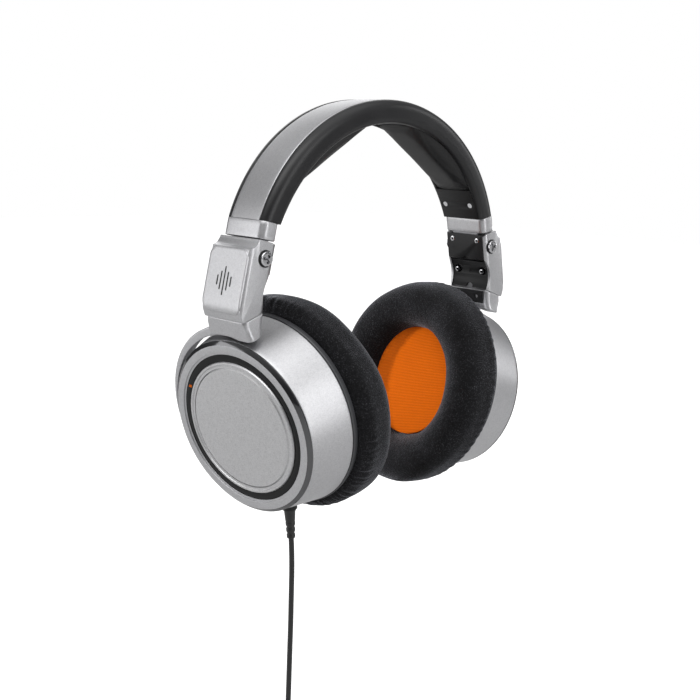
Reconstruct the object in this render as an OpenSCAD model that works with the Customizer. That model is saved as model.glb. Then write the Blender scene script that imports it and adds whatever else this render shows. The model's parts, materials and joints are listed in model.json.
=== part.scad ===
/* [Headband] */
// Outer radius of the headband's arch
arch_r = 81.6; // [81.4:0.1:81.8]
// Depth of the arch's centre below the crown cushions
arch_drop = 65; // [64.8:0.1:65.2]
// Thickness of the padded band
band_thick = 9.6; // [9.4:0.1:9.8]
// Half of the band's width, front to rear
band_half = 13.6; // [13.2:0.1:14.2]
// Half of the width of the metal trim on top of the band
trim_half = 9.3; // [8:0.1:9.6]
// Thickness of each crown cushion at its middle
cushion_thick = 5.6; // [5.4:0.1:6]

/* [Folding hinge] */
// Distance of the hinge pin from the middle of the head
hinge_x = 75.6; // [75.5:0.1:75.7]
// Height of the hinge pin below the crown
hinge_drop = 52.3; // [52.2:0.1:52.4]
// Outward lean of the hinge block, going down, in degrees
hinge_lean = 11.5; // [11.4:0.1:11.6]
// Half of the width of the hinge block
block_half = 13; // [12.9:0.1:13.2]
// Radius of the hinge pin's shank
hinge_pin_r = 1.8; // [1.6:0.05:2]
// Slope of the joint between hinge block and yoke, in degrees
seam_slope = 30; // [29.5:0.5:30.5]
// Radius of the swivel pin's shank
swivel_pin_r = 2.5; // [2.2:0.1:2.6]

/* [Ear cup] */
// Position of the cup's outer face: sideways, front to rear, height
cup_at = [75.5, 1.1, -128.3];
// Lean of the cup's axis, in degrees: the cups come together at the bottom
cup_lean = 13.2; // [13:0.1:13.4]
// Turn of the cup towards the front, in degrees
cup_toe = 6.2; // [6:0.1:6.4]
// Radius of the polished edge round the outer face
rim_r = 40.5; // [40.4:0.1:40.6]
// Radius of the cup's shell where it meets the ear pad
shell_r = 45.1; // [45:0.1:45.3]
// Depth of the shell, from the outer face to the pad ring
shell_depth = 22.8; // [22.6:0.1:23]
// Wall thickness of the shell
wall = 1.6; // [1.4:0.1:1.8]
// Outer radius of the ear pad
pad_r = 50; // [48:0.1:51]
// Radius of the opening for the ear
ear_r = 26.5; // [26.3:0.1:27.5]
// Thickness of the ear pad
pad_thick = 22.8; // [20:0.1:24]
// Depth of the tilt axis behind the outer face
tilt_depth = 9; // [8.9:0.1:9.1]
// Radius of the tilt pins
tilt_pin_r = 1.5; // [1.3:0.05:1.6]

/* [Cable] */
// Place where the cable leaves the wearer's right cup
jack_at = [-51, -5.5, -167];
// Inward lean of the socket and the boot, in degrees
jack_lean = 6; // [4:0.5:8]
// Cable diameter
cable_d = 2.5; // [2.2:0.1:2.8]
// Radius of the middle of the coil's turns
coil_r = 14; // [13:0.5:15]
// Width of the coil's bundle
coil_wide = 15; // [14.5:0.5:16]

/* [Hidden] */
$fn = 96;

// Which side a module is asked for: the right one is the left one mirrored
LEFT = 1;
RIGHT = -1;

// The band: inner face, cavity for the rail, and where the pieces under it start and end
band_in = arch_r - band_thick;
cavity_in = band_in + 0.6;
cavity_out = arch_r - 2.2;
cavity_half = 10;
spring_thick = 0.7;
trim_depth = 0.7;
trim_thick = 0.6;
cushion_angle = 32.5;
cushion_half = 26;
plate_start = 55;
plate_end = 75;
plate_thick = 1.1;
plate_half = 11;
plate_screw_angle = 62;
plate_screw_y = 8;

// The collar, in the hinge frame: x is outward and z is up, from the hinge pin
collar_low = 7.75;
collar_high = 15.4;
collar_in = -5.2;
collar_out = 4.2;
collar_half = 12.8;

// The flat rail that the cup hangs on, and the slot it runs in
rail_x = -4.2;
rail_thick = 1.2;
rail_half = 8;
rail_top = 31;
rail_foot = 5;
rail_gap = 0.15;

// The knuckle and the hinge block
knuckle_r = 8.1;
block_r = 8.35;
block_top = 7.1;
block_clear_r = 7.7;
block_wall = 1.4;
cover_in = -6.2;
cover_out = -4.8;
screw_z = 3.8;
screw_y = 8;
cover_screw_z = -13;
pin_gap = 0.05;

// The yoke's seam lies under the hinge block, on this point of the hinge axis
seam_z = -25;
seam_gap = 0.2;
swivel_head_z = 3.9;
swivel_head_r = 3.6;
cup_gap_r = 42.2;
cup_gap_slope = 0.14;
arm_from = 3;
arm_to = 10.5;
arm_r = 42.4;
arm_shift = 4.1;
arm_turn = 15;
arm_sweep = 97;

// The hidden ring that carries the cup between two tilt pins
carrier_in = 35.2;
carrier_out = 37.8;
carrier_half = 1.4;
web_half_x = 9;
web_half_s = 1;
slot_half_x = 10;
slot_half_s = 4.8;
boss_r = 3.4;

// The cable's free stretch, from the boot down to the coil
CORD_ROUTE = [
    [-49.1, -5.5, -185], [-48.8, -5.5, -189], [-48.5, -5.5, -194], [-48.3, -5.5, -200],
    [-48.2, -5.5, -207], [-48.1, -5.5, -215], [-48, -5.5, -224], [-48, -5.5, -234],
    [-48, -5.5, -246], [-48, -5.5, -258], [-48, -5.5, -266], [-47.6, -5.5, -269.5],
    [-46, -5.5, -272.4], [-43.2, -5.5, -274.4], [-40, -5.5, -275]
];
boot_top = -0.85;
boot_end = -15.4;
coil_at = [-40, -5.5, -296];
coil_in = coil_r - coil_wide / 2;
coil_out = coil_r + coil_wide / 2;
plug_at = [-25, -17.7, -292];

// ---------- placing ----------

module on_side(side) {
    if (side > 0) children();
    else mirror([1, 0, 0]) children();
}

// The hinge pin's place: x outward, y to the rear, z up along the hinge block
module hinge_frame() {
    translate([hinge_x, 0, -hinge_drop]) rotate([0, -hinge_lean, 0]) children();
}

// The swivel's place: z is the swivel axis, and z = 0 is the seam
module swivel_frame() {
    hinge_frame() translate([0, 0, seam_z]) rotate([0, seam_slope, 0]) children();
}

// The cup's place: x to the front, y up, and z inward from the outer face
module cup_frame() {
    translate(cup_at) rotate([0, cup_lean, -cup_toe]) rotate([90, 0, -90]) children();
}

// The cable socket's place: z is up into the cup
module jack_frame() {
    translate(jack_at) rotate([0, -jack_lean, 0]) children();
}

// A sector of the band, from one angle to another, measured from the crown outward
module arch(from, to) {
    translate([0, 0, -arch_drop]) rotate([90, 0, 0]) rotate([0, 0, 90 - to])
        rotate_extrude(angle = to - from, $fn = 180) children();
}

// Everything at and below the top of one collar
module below_collar(side) {
    on_side(side) hinge_frame() translate([-25, -25, collar_high - 60]) cube([50, 50, 60]);
}

// ---------- outlines ----------

module rounded_rect(x0, x1, y0, y1, r) {
    translate([x0 + r, y0]) square([x1 - x0 - 2 * r, y1 - y0]);
    translate([x0, y0 + r]) square([x1 - x0, y1 - y0 - 2 * r]);
    for (x = [x0 + r, x1 - r], y = [y0 + r, y1 - r])
        translate([x, y]) circle(r = r);
}

module rounded_bar(x0, x1, y0, y1, r, z0, z1) {
    translate([0, 0, z0]) linear_extrude(z1 - z0) rounded_rect(x0, x1, y0, y1, r);
}

// A bar along y, with its outline in x and z
module along_y(half) {
    translate([0, half, 0]) rotate([90, 0, 0]) linear_extrude(2 * half) children();
}

// A cylinder along y
module rod_y(r, y0, y1) {
    translate([0, y1, 0]) rotate([90, 0, 0]) cylinder(r = r, h = y1 - y0);
}

// A cylinder along x
module rod_x(r, x0, x1) {
    translate([x0, 0, 0]) rotate([0, 90, 0]) cylinder(r = r, h = x1 - x0);
}

// ---------- headband ----------

module plate_screw_holes(r) {
    for (side = [LEFT, RIGHT], y = [-plate_screw_y, plate_screw_y])
        on_side(side) translate([0, y, -arch_drop]) rotate([0, plate_screw_angle, 0])
            translate([0, 0, band_in - 3]) cylinder(r = r, h = 6, $fn = 32);
}

module headband_cover() {
    color([0.09, 0.09, 0.10]) difference() {
        arch(-plate_end, plate_end) difference() {
            rounded_rect(band_in, arch_r, -band_half, band_half, 4.2);
            translate([cavity_in, -cavity_half])
                square([cavity_out - cavity_in, 2 * cavity_half]);
            translate([arch_r - trim_depth, -trim_half]) square([2, 2 * trim_half]);
        }
        below_collar(LEFT);
        below_collar(RIGHT);
        plate_screw_holes(0.8);
    }
}

module headband_spring() {
    color([0.55, 0.56, 0.58]) difference() {
        arch(-plate_end, plate_end) translate([cavity_in, -cavity_half + 0.5])
            square([spring_thick, 2 * cavity_half - 1]);
        below_collar(LEFT);
        below_collar(RIGHT);
        plate_screw_holes(0.8);
    }
}

module headband_trim() {
    color([0.70, 0.70, 0.72]) difference() {
        arch(-plate_end, plate_end) translate([arch_r - trim_depth, -trim_half + 0.05])
            square([trim_thick, 2 * trim_half - 0.1]);
        below_collar(LEFT);
        below_collar(RIGHT);
    }
}

module crown_cushion(side) {
    color([0.12, 0.12, 0.13]) on_side(side) translate([0, 0, -arch_drop])
        rotate([0, cushion_angle, 0]) intersection() {
            rod_y(band_in - 0.1, -band_half, band_half);
            rounded_bar(-cushion_half, cushion_half, 1.5 - band_half, band_half - 1.5, 5,
                band_in - cushion_thick, arch_r);
        }
}

module end_plate(side) {
    color([0.13, 0.13, 0.14]) difference() {
        on_side(side) arch(plate_start, plate_end)
            translate([band_in - plate_thick, -plate_half])
                square([plate_thick, 2 * plate_half]);
        below_collar(side);
        plate_screw_holes(1.3);
    }
}

module end_plate_screws() {
    color([0.75, 0.75, 0.77])
    for (side = [LEFT, RIGHT], y = [-plate_screw_y, plate_screw_y])
        on_side(side) translate([0, y, -arch_drop]) rotate([0, plate_screw_angle, 0]) {
            translate([0, 0, band_in - plate_thick - 0.1])
                cylinder(r = 1.3, h = plate_thick, $fn = 32);
            translate([0, 0, band_in - 0.2]) cylinder(r = 0.75, h = 1.6, $fn = 32);
        }
}

module collar(side) {
    color([0.72, 0.72, 0.74]) on_side(side) hinge_frame() difference() {
        rounded_bar(collar_in, collar_out, -collar_half, collar_half, 3.2,
            collar_low, collar_high);
        translate([rail_x - rail_gap, -rail_half - rail_gap, 0])
            cube([rail_thick + 2 * rail_gap, 2 * (rail_half + rail_gap), 20]);
    }
}

// ---------- slider ----------

module slider_rail(side) {
    color([0.62, 0.63, 0.65]) on_side(side) hinge_frame()
        translate([rail_x, -rail_half, rail_foot])
            cube([rail_thick, 2 * rail_half, rail_top - rail_foot]);
}

module knuckle_outline() {
    intersection() {
        translate([cover_in, -knuckle_r]) square([9.4, knuckle_r + block_top - 0.3]);
        union() {
            circle(r = knuckle_r);
            translate([cover_in, 0]) square([9, block_top]);
        }
    }
}

module knuckle(side) {
    color([0.11, 0.11, 0.12]) on_side(side) hinge_frame() difference() {
        along_y(block_half - block_wall - 0.15) knuckle_outline();
        // pocket for the rail's lower end
        translate([rail_x, -rail_half, rail_foot]) cube([rail_thick, 2 * rail_half, 10]);
        // the threads of the pivot screws
        for (y = [-1, 1]) scale([1, y, 1]) rod_y(hinge_pin_r, 5, 20);
        // heads of the two small screws, and the half-round notch
        for (y = [-screw_y, screw_y])
            translate([0, y, screw_z]) rod_x(1.4, cover_in - 1, cover_in + 0.8);
        translate([0, 0, -knuckle_r + 0.9]) rod_x(2.2, cover_in - 1, cover_in + 1.6);
    }
}

module knuckle_screws(side) {
    color([0.75, 0.75, 0.77]) on_side(side) hinge_frame()
        for (y = [-screw_y, screw_y])
            translate([0, y, screw_z]) rod_x(1.4, cover_in - 0.1, cover_in + 0.8);
}

module pivot_screws(side) {
    color([0.85, 0.85, 0.87]) on_side(side) hinge_frame()
        for (y = [-1, 1]) scale([1, y, 1]) difference() {
            union() {
                rod_y(hinge_pin_r, 6, block_half + 0.2);
                rod_y(3.1, block_half + 0.35, block_half + 1.4);
                rod_y(hinge_pin_r, block_half, block_half + 0.5);
            }
            // tri-lobe recess
            for (a = [90, 210, 330])
                rotate([0, a, 0]) translate([1.1, 0, 0])
                    rod_y(0.7, block_half + 0.8, block_half + 2);
        }
}

module pivot_washers(side) {
    color([0.1, 0.1, 0.1]) on_side(side) hinge_frame()
        for (y = [-1, 1]) scale([1, y, 1]) difference() {
            rod_y(3.7, block_half + 0.05, block_half + 0.33);
            rod_y(hinge_pin_r + pin_gap, block_half - 1, block_half + 1);
        }
}

// ---------- hinge block ----------

module block_outline() {
    polygon([
        [-5.2, block_top], [4.0, block_top], [5.0, 5.7], [8.2, 1.6], [9.0, 0],
        [9.0, -20], [8.2, -24.4], [5.3, -29], [-5.3, -29]
    ]);
}

module hinge_block(side) {
    color([0.72, 0.72, 0.74]) on_side(side) hinge_frame() difference() {
        intersection() {
            along_y(block_half) block_outline();
            rounded_bar(-5.2, 9, -block_half, block_half, 3, -40, 10);
        }
        // the inner top corner turns clear of the collar
        difference() {
            translate([-8, -20, 0]) cube([8, 40, 10]);
            rod_y(block_clear_r, -21, 21);
        }
        // room for the knuckle
        translate([-10, -(block_half - block_wall), -5]) cube([14.6, 2 * (block_half - block_wall), 20]);
        rod_y(block_r + 0.1, -(block_half - block_wall), block_half - block_wall);
        // hollow behind the cover
        translate([-10, -(block_half - block_wall), -19])
            cube([14.2, 2 * (block_half - block_wall), 19]);
        // seam with the yoke
        translate([0, 0, seam_z]) rotate([0, seam_slope, 0])
            translate([-30, -30, -50 + seam_gap / 2]) cube([60, 60, 50]);
        // bore and seat of the swivel pin
        translate([0, 0, seam_z]) rotate([0, seam_slope, 0]) {
            translate([0, 0, -5]) cylinder(r = swivel_pin_r + pin_gap, h = 10);
            translate([0, 0, swivel_head_z - pin_gap]) cylinder(r = swivel_head_r + 0.1, h = 3.2);
        }
        rod_y(hinge_pin_r + pin_gap, -20, 20);
    }
    // posts behind the cover for its two screws
    color([0.72, 0.72, 0.74]) on_side(side) hinge_frame()
        for (y = [-screw_y, screw_y]) translate([0, y, cover_screw_z]) difference() {
            rod_x(3, -4.7, 5);
            rod_x(1.5, -5, 2);
        }
}

module block_cover(side) {
    color([0.11, 0.11, 0.12]) on_side(side) hinge_frame() difference() {
        translate([cover_in, -(block_half - block_wall - 0.1), -18.9])
            cube([cover_out - cover_in, 2 * (block_half - block_wall - 0.1), 18]);
        rod_y(block_r, -20, 20);
        for (y = [-screw_y, screw_y])
            translate([0, y, cover_screw_z]) rod_x(2, cover_in - 1, cover_out + 1);
    }
}

module cover_screws(side) {
    color([0.75, 0.75, 0.77]) on_side(side) hinge_frame()
        for (y = [-screw_y, screw_y]) translate([0, y, cover_screw_z]) {
            rod_x(1.9, cover_out - 0.6, cover_out + 0.1);
            rod_x(1.5, cover_out, 1.5);
        }
}

// ---------- yoke ----------

// The cone round the cup that the yoke keeps out of
module cup_clearance() {
    translate([0, 0, -20])
        cylinder(r1 = cup_gap_r - 20 * cup_gap_slope, r2 = cup_gap_r + 30 * cup_gap_slope, h = 50);
}

module yoke_foot() {
    hinge_frame() intersection() {
        along_y(block_half)
            polygon([[-5.3, -15], [5.3, -15], [5.3, -28.06], [-1.3, -38.4], [-6.8, -38.4], [-6.2, -30], [-5.3, -22]]);
        rounded_bar(-5.3, 5.3, -block_half, block_half, 3, -33, 0);
    }
}

module yoke_arm(side) {
    color([0.72, 0.72, 0.74]) on_side(side) difference() {
        union() {
            yoke_foot();
            // crescent round the rear of the cup
            cup_frame() intersection() {
                translate([-arm_shift * sin(arm_turn), arm_shift * cos(arm_turn), arm_from])
                    cylinder(r = arm_r, h = arm_to - arm_from);
                translate([0, 0, arm_from]) linear_extrude(arm_to - arm_from)
                    polygon([[0, 0], [2, 60], [-60, 60], [-60, 60 * cos(arm_sweep) / sin(arm_sweep)]]);
            }
        }
        cup_frame() cup_clearance();
        swivel_frame() translate([-30, -30, -seam_gap / 2]) cube([60, 60, 50]);
        swivel_frame() translate([0, 0, -6]) cylinder(r = swivel_pin_r, h = 20);
        carrier_web_at();
        // seat of the inner cover
        hinge_frame() translate([-12, -10.5, -29.5]) cube([6.6, 21, 7]);
    }
}

module carrier_web_at() {
    cup_frame() translate([-web_half_x, 30, tilt_depth - web_half_s])
        cube([2 * web_half_x, 14.5, 2 * web_half_s]);
}

module yoke_cover(side) {
    color([0.11, 0.11, 0.12]) on_side(side) difference() {
        hinge_frame() translate([-6.4, -10.4, -29]) cube([0.9, 20.8, 6.4]);
        cup_frame() cup_clearance();
        swivel_frame() translate([-30, -30, -seam_gap / 2]) cube([60, 60, 50]);
        hinge_frame() translate([0, -6, -25.5]) rod_x(1, -8, -5);
    }
}

module swivel_pin(side) {
    color([0.6, 0.6, 0.62]) on_side(side) swivel_frame() {
        translate([0, 0, -6]) cylinder(r = swivel_pin_r, h = 10);
        translate([0, 0, swivel_head_z]) cylinder(r = swivel_head_r, h = 1.4);
    }
}

module carrier_ring(side) {
    color([0.35, 0.35, 0.37]) on_side(side) {
        cup_frame() difference() {
            translate([0, 0, tilt_depth - carrier_half])
                cylinder(r = carrier_out, h = 2 * carrier_half);
            translate([0, 0, tilt_depth - 5]) cylinder(r = carrier_in, h = 10);
        }
        difference() {
            carrier_web_at();
            cup_frame() cylinder(r = (carrier_in + carrier_out) / 2, h = 30);
        }
        cup_frame() translate([0, 0, tilt_depth]) difference() {
            rod_x(tilt_pin_r, -40.6, 40.6);
            rod_x(tilt_pin_r + 1, -(carrier_in + carrier_out) / 2, (carrier_in + carrier_out) / 2);
        }
    }
}

// ---------- ear cup ----------

module cup_shell(side) {
    color([0.72, 0.72, 0.74]) difference() {
        on_side(side) cup_frame() difference() {
            union() {
                rotate_extrude() polygon([
                    [rim_r, 1.9], [shell_r, shell_depth], [shell_r - wall, shell_depth],
                    [rim_r - wall, 3.3], [34.6, 3.3], [34.6, 2.5], [39, 1.9]
                ]);
                // bosses that hold the tilt pins
                for (x = [-1, 1]) scale([x, 1, 1]) intersection() {
                    translate([0, 0, tilt_depth]) rod_x(boss_r, 38.6, 43);
                    cylinder(r1 = rim_r - 0.4, r2 = shell_r - 0.4, h = shell_depth);
                }
            }
            translate([0, 0, tilt_depth]) rod_x(tilt_pin_r + pin_gap, -40.8, 40.8);
            translate([-slot_half_x, 30, tilt_depth - slot_half_s])
                cube([2 * slot_half_x, 30, 2 * slot_half_s]);
        }
        if (side < 0) jack_frame() translate([0, 0, -10]) cylinder(r = 3.65, h = 22);
    }
}

module rim_ring(side) {
    color([0.80, 0.80, 0.82]) on_side(side) cup_frame() rotate_extrude() polygon([
        [34.4, 0.7], [35.4, 0.7], [35.4, 0.1], [38.7, 0], [rim_r, 1.4], [rim_r, 1.8],
        [39, 1.8], [34.6, 2.4], [34.4, 2.4]
    ]);
}

module black_ring(side) {
    color([0.05, 0.05, 0.06]) on_side(side) cup_frame() rotate_extrude()
        polygon([[31.1, 0.8], [34.35, 0.8], [34.35, 2.4], [34.5, 2.45], [34.5, 3.2], [31.1, 3.2]]);
}

module centre_disc(side) {
    color([0.74, 0.74, 0.76]) on_side(side) cup_frame() rotate_extrude() polygon([
        [0, 0], [28.2, 0], [28.4, 0.3], [30.7, 0.3], [31.05, 0.7], [31.05, 3.2],
        [29.4, 3.2], [29.4, 1.5], [0, 1.5]
    ]);
}

module pad_ring(side) {
    color([0.16, 0.16, 0.17]) on_side(side) cup_frame() rotate_extrude() polygon([
        [43.4, shell_depth + 0.05], [shell_r + 0.3, shell_depth + 0.05],
        [shell_r + 0.3, 25.4], [43.4, 25.4]
    ]);
}

module ear_pad(side) {
    color([0.10, 0.10, 0.11]) on_side(side) cup_frame() rotate_extrude()
        rounded_rect(ear_r, pad_r, 25.6, 25.6 + pad_thick, 10);
}

module baffle(side) {
    color([0.08, 0.08, 0.09]) on_side(side) cup_frame() rotate_extrude() polygon([
        [20.5, 23.4], [43.3, 23.4], [43.3, 25.1], [26.2, 25.1], [26.2, 35.8],
        [24.8, 35.8], [24.8, 25.1], [20.5, 25.1]
    ]);
}

module baffle_cloth(side) {
    color([0.93, 0.42, 0.10]) on_side(side) cup_frame()
        translate([0, 0, 35.9]) cylinder(r = 26.2, h = 0.8);
}

module driver_dome(side) {
    color([0.75, 0.72, 0.62]) on_side(side) cup_frame() rotate_extrude() polygon([
        [0, 27.4], [5, 27.1], [9, 26.2], [12, 24.6], [13.4, 24.2], [16, 25.2], [19, 24.4],
        [20.4, 24.4], [20.4, 23.3], [19, 23.6], [16, 24.4], [13.2, 23.4], [11.5, 24],
        [8.6, 25.5], [5, 26.4], [0, 26.7]
    ]);
}

module driver_magnet(side) {
    color([0.30, 0.30, 0.32]) on_side(side) cup_frame() rotate_extrude() polygon([
        [0, 10], [11, 10], [11, 16.5], [18.5, 19.5], [20.4, 19.5], [20.4, 23.2],
        [19.4, 23.2], [17.6, 21], [11, 18.5], [0, 18.5]
    ]);
}

// ---------- cable ----------

module jack_socket() {
    color([0.12, 0.12, 0.13]) jack_frame() difference() {
        translate([0, 0, -0.8]) cylinder(r = 3.6, h = 5.2);
        translate([0, 0, 1]) cylinder(r = 1.3, h = 4);
    }
}

module cable_boot() {
    color([0.08, 0.08, 0.08]) jack_frame() {
        translate([0, 0, boot_end]) cylinder(r1 = 1.95, r2 = 2.6, h = boot_top - boot_end);
        translate([0, 0, boot_top - 0.4]) cylinder(r = 2.9, h = 0.4);
    }
}

// The cord is swept along its route: a ring of points round each point of the route
function unit(v) = v / norm(v);
function boot_tip() = jack_at + [boot_end * sin(-jack_lean), 0, boot_end * cos(jack_lean)];
function route() = concat([boot_tip()], CORD_ROUTE);
function along(p, i) = unit(p[min(i + 1, len(p) - 1)] - p[max(i - 1, 0)]);
function ring(p, i, n) = [
    for (k = [0:n - 1]) let (t = along(p, i), u = [0, 1, 0], w = cross(t, u))
        p[i] + cable_d / 2 * (u * cos(360 * k / n) + w * sin(360 * k / n))
];
function sides(m, n) = [
    for (i = [0:m - 2], k = [0:n - 1])
        [i * n + k, i * n + (k + 1) % n, (i + 1) * n + (k + 1) % n, (i + 1) * n + k]
];

module cable_cord() {
    n = 8;
    p = route();
    m = len(p);
    color([0.07, 0.07, 0.07]) polyhedron(
        points = [for (i = [0:m - 1]) each ring(p, i, n)],
        faces = concat([[for (k = [0:n - 1]) n - 1 - k]], sides(m, n), [[for (k = [0:n - 1]) (m - 1) * n + k]])
    );
}

module cable_coil() {
    color([0.07, 0.07, 0.07]) translate(coil_at) rotate([90, 0, 0])
        rotate_extrude() rounded_rect(coil_in, coil_out, -coil_wide / 2, coil_wide / 2, 4);
}

// A hook-and-loop band round the top of the coil
module cable_tie() {
    color([0.15, 0.15, 0.15]) translate(coil_at + [0, 0, coil_r]) difference() {
        rotate([0, 90, 0]) rounded_bar(-9.4, 9.4, -9.4, 9.4, 3, -4, 4);
        translate([0, 0, -coil_r]) rotate([90, 0, 0]) difference() {
            translate([0, 0, -8.3]) cylinder(r = coil_out + 0.8, h = 16.6);
            translate([0, 0, -9]) cylinder(r = coil_in - 0.8, h = 18);
        }
    }
}

module jack_plug() {
    color([0.65, 0.65, 0.67]) translate(plug_at) {
        translate([0, 0, -12]) cylinder(r1 = 3.1, r2 = 1.9, h = 12);
        translate([0, 0, -27]) cylinder(r = 4, h = 15);
        translate([0, 0, -28.4]) cylinder(r = 2.4, h = 1.5);
        translate([0, 0, -42.3]) cylinder(r = 1.75, h = 14);
    }
}

headband_cover();
headband_spring();
headband_trim();
crown_cushion(LEFT);  // left_crown_cushion
crown_cushion(RIGHT);  // right_crown_cushion
end_plate(LEFT);  // left_end_plate
end_plate(RIGHT);  // right_end_plate
end_plate_screws();
collar(LEFT);  // left_collar
collar(RIGHT);  // right_collar
slider_rail(LEFT);  // left_slider_rail
knuckle(LEFT);  // left_knuckle
knuckle_screws(LEFT);  // left_knuckle_screws
pivot_screws(LEFT);  // left_pivot_screws
pivot_washers(LEFT);  // left_pivot_washers
hinge_block(LEFT);  // left_hinge_block
block_cover(LEFT);  // left_block_cover
cover_screws(LEFT);  // left_cover_screws
yoke_arm(LEFT);  // left_yoke_arm
yoke_cover(LEFT);  // left_yoke_cover
swivel_pin(LEFT);  // left_swivel_pin
carrier_ring(LEFT);  // left_carrier_ring
cup_shell(LEFT);  // left_cup_shell
rim_ring(LEFT);  // left_rim_ring
black_ring(LEFT);  // left_black_ring
centre_disc(LEFT);  // left_centre_disc
pad_ring(LEFT);  // left_pad_ring
ear_pad(LEFT);  // left_ear_pad
baffle(LEFT);  // left_baffle
baffle_cloth(LEFT);  // left_baffle_cloth
driver_dome(LEFT);  // left_driver_dome
driver_magnet(LEFT);  // left_driver_magnet
slider_rail(RIGHT);  // right_slider_rail
knuckle(RIGHT);  // right_knuckle
knuckle_screws(RIGHT);  // right_knuckle_screws
pivot_screws(RIGHT);  // right_pivot_screws
pivot_washers(RIGHT);  // right_pivot_washers
hinge_block(RIGHT);  // right_hinge_block
block_cover(RIGHT);  // right_block_cover
cover_screws(RIGHT);  // right_cover_screws
yoke_arm(RIGHT);  // right_yoke_arm
yoke_cover(RIGHT);  // right_yoke_cover
swivel_pin(RIGHT);  // right_swivel_pin
carrier_ring(RIGHT);  // right_carrier_ring
cup_shell(RIGHT);  // right_cup_shell
rim_ring(RIGHT);  // right_rim_ring
black_ring(RIGHT);  // right_black_ring
centre_disc(RIGHT);  // right_centre_disc
pad_ring(RIGHT);  // right_pad_ring
ear_pad(RIGHT);  // right_ear_pad
baffle(RIGHT);  // right_baffle
baffle_cloth(RIGHT);  // right_baffle_cloth
driver_dome(RIGHT);  // right_driver_dome
driver_magnet(RIGHT);  // right_driver_magnet
jack_socket();
cable_boot();
cable_cord();
cable_coil();
cable_tie();
jack_plug();
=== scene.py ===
"""Over ear headphones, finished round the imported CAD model.

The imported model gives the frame. Each operator below makes one piece or a group of like pieces round it,
and main() calls them in order. Sizes in the settings are metres, and the shape functions work in millimetres
in the frame of the piece that they shape: the hinge's, the cup's or the band's.
"""

import json
import math

import bmesh
import bpy
import numpy as np
from bpy.props import FloatProperty, FloatVectorProperty, IntProperty, PointerProperty
from mathutils import Matrix, Vector


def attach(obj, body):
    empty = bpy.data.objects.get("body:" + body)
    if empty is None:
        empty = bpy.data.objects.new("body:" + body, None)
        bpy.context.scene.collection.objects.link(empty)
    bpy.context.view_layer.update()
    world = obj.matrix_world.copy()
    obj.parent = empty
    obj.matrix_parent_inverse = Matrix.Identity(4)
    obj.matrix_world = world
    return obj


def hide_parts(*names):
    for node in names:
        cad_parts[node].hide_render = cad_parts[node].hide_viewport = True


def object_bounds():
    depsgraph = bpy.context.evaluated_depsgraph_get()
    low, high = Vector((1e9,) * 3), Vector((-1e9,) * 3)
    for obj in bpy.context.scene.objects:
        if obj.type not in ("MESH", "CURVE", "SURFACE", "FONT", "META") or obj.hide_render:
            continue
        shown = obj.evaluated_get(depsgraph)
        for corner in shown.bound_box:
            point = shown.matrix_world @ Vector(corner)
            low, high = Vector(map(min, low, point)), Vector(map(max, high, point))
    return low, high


bl_info = {
    "name": "Over ear headphones",
    "version": (1, 0, 0),
    "blender": (4, 5, 0),
    "location": "View3D > Sidebar > Headphones",
    "description": "Finishes a pair of over ear headphones round its CAD frame",
    "category": "Object",
}

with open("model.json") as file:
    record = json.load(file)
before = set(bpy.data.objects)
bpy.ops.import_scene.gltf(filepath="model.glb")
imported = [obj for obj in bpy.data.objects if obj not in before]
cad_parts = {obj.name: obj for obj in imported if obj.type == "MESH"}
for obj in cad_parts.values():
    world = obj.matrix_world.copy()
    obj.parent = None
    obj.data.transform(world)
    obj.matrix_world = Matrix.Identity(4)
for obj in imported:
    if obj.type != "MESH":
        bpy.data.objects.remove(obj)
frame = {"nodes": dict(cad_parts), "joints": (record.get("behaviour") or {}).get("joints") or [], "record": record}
CAD_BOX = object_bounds()
JOINTS = {j["name"]: j for j in frame["joints"]}
MOUNTS = {m["name"]: m for m in frame["record"]["mounts"]}
MM = 0.001
SIDES = {"left": 1, "right": -1}
UP_Y = np.array([0.0, 1.0, 0.0])


# ---------- frames ----------


def unit(v):
    """v at length 1."""
    v = np.asarray(v, float)
    return v / np.linalg.norm(v)


def axes_of(x, y, z):
    """A matrix whose columns are the three axes."""
    return np.stack([x, y, z], 1)


def hinge_place():
    """The left hinge pin's frame in millimetres: x outward, y to the rear, z up along the hinge."""
    z = -unit(JOINTS["left_adjust"]["axis"])
    return np.array(JOINTS["left_fold"]["pos_m"]) / MM, axes_of(np.cross(UP_Y, z), UP_Y, z)


def swivel_place():
    """The left swivel pin's frame in millimetres, with z along the pin."""
    z = unit(JOINTS["left_swivel"]["axis"])
    return np.array(JOINTS["left_swivel"]["pos_m"]) / MM, axes_of(np.cross(UP_Y, z), UP_Y, z)


def cup_place():
    """The left cup's frame in millimetres: x to the front, y up, z inward from the outer face."""
    z = -unit(MOUNTS["left_disc_face"]["axis"])
    x = unit(np.cross(np.cross(z, JOINTS["left_tilt"]["axis"]), z))
    return np.array(MOUNTS["left_disc_face"]["pos_m"]) / MM, axes_of(x, np.cross(z, x), z)


ROW = (np.zeros(3), np.eye(3))
HINGE = hinge_place()
SWIVEL = swivel_place()
CUP = cup_place()


def to_row(points, place=ROW, side=1):
    """Points in millimetres in a left piece's frame, as metres in the row frame. The right side is the left
    one with x turned round."""
    origin, axes = place
    out = (np.asarray(points, float) @ axes.T + origin) * MM
    out[..., 0] *= side
    return out


def from_row(points, place=ROW, side=1):
    """The way back: metres in the row frame to millimetres in the piece's frame."""
    origin, axes = place
    out = np.array(points, float)
    out[..., 0] *= side
    return (out / MM - origin) @ axes


# ---------- settings ----------


def length(name, description, default, low=0.0, high=1.0):
    """A length in metres that the user may change."""
    return FloatProperty(
        name=name, description=description, default=default, min=low, max=high, subtype="DISTANCE",
        unit="LENGTH", precision=5
    )


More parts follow.
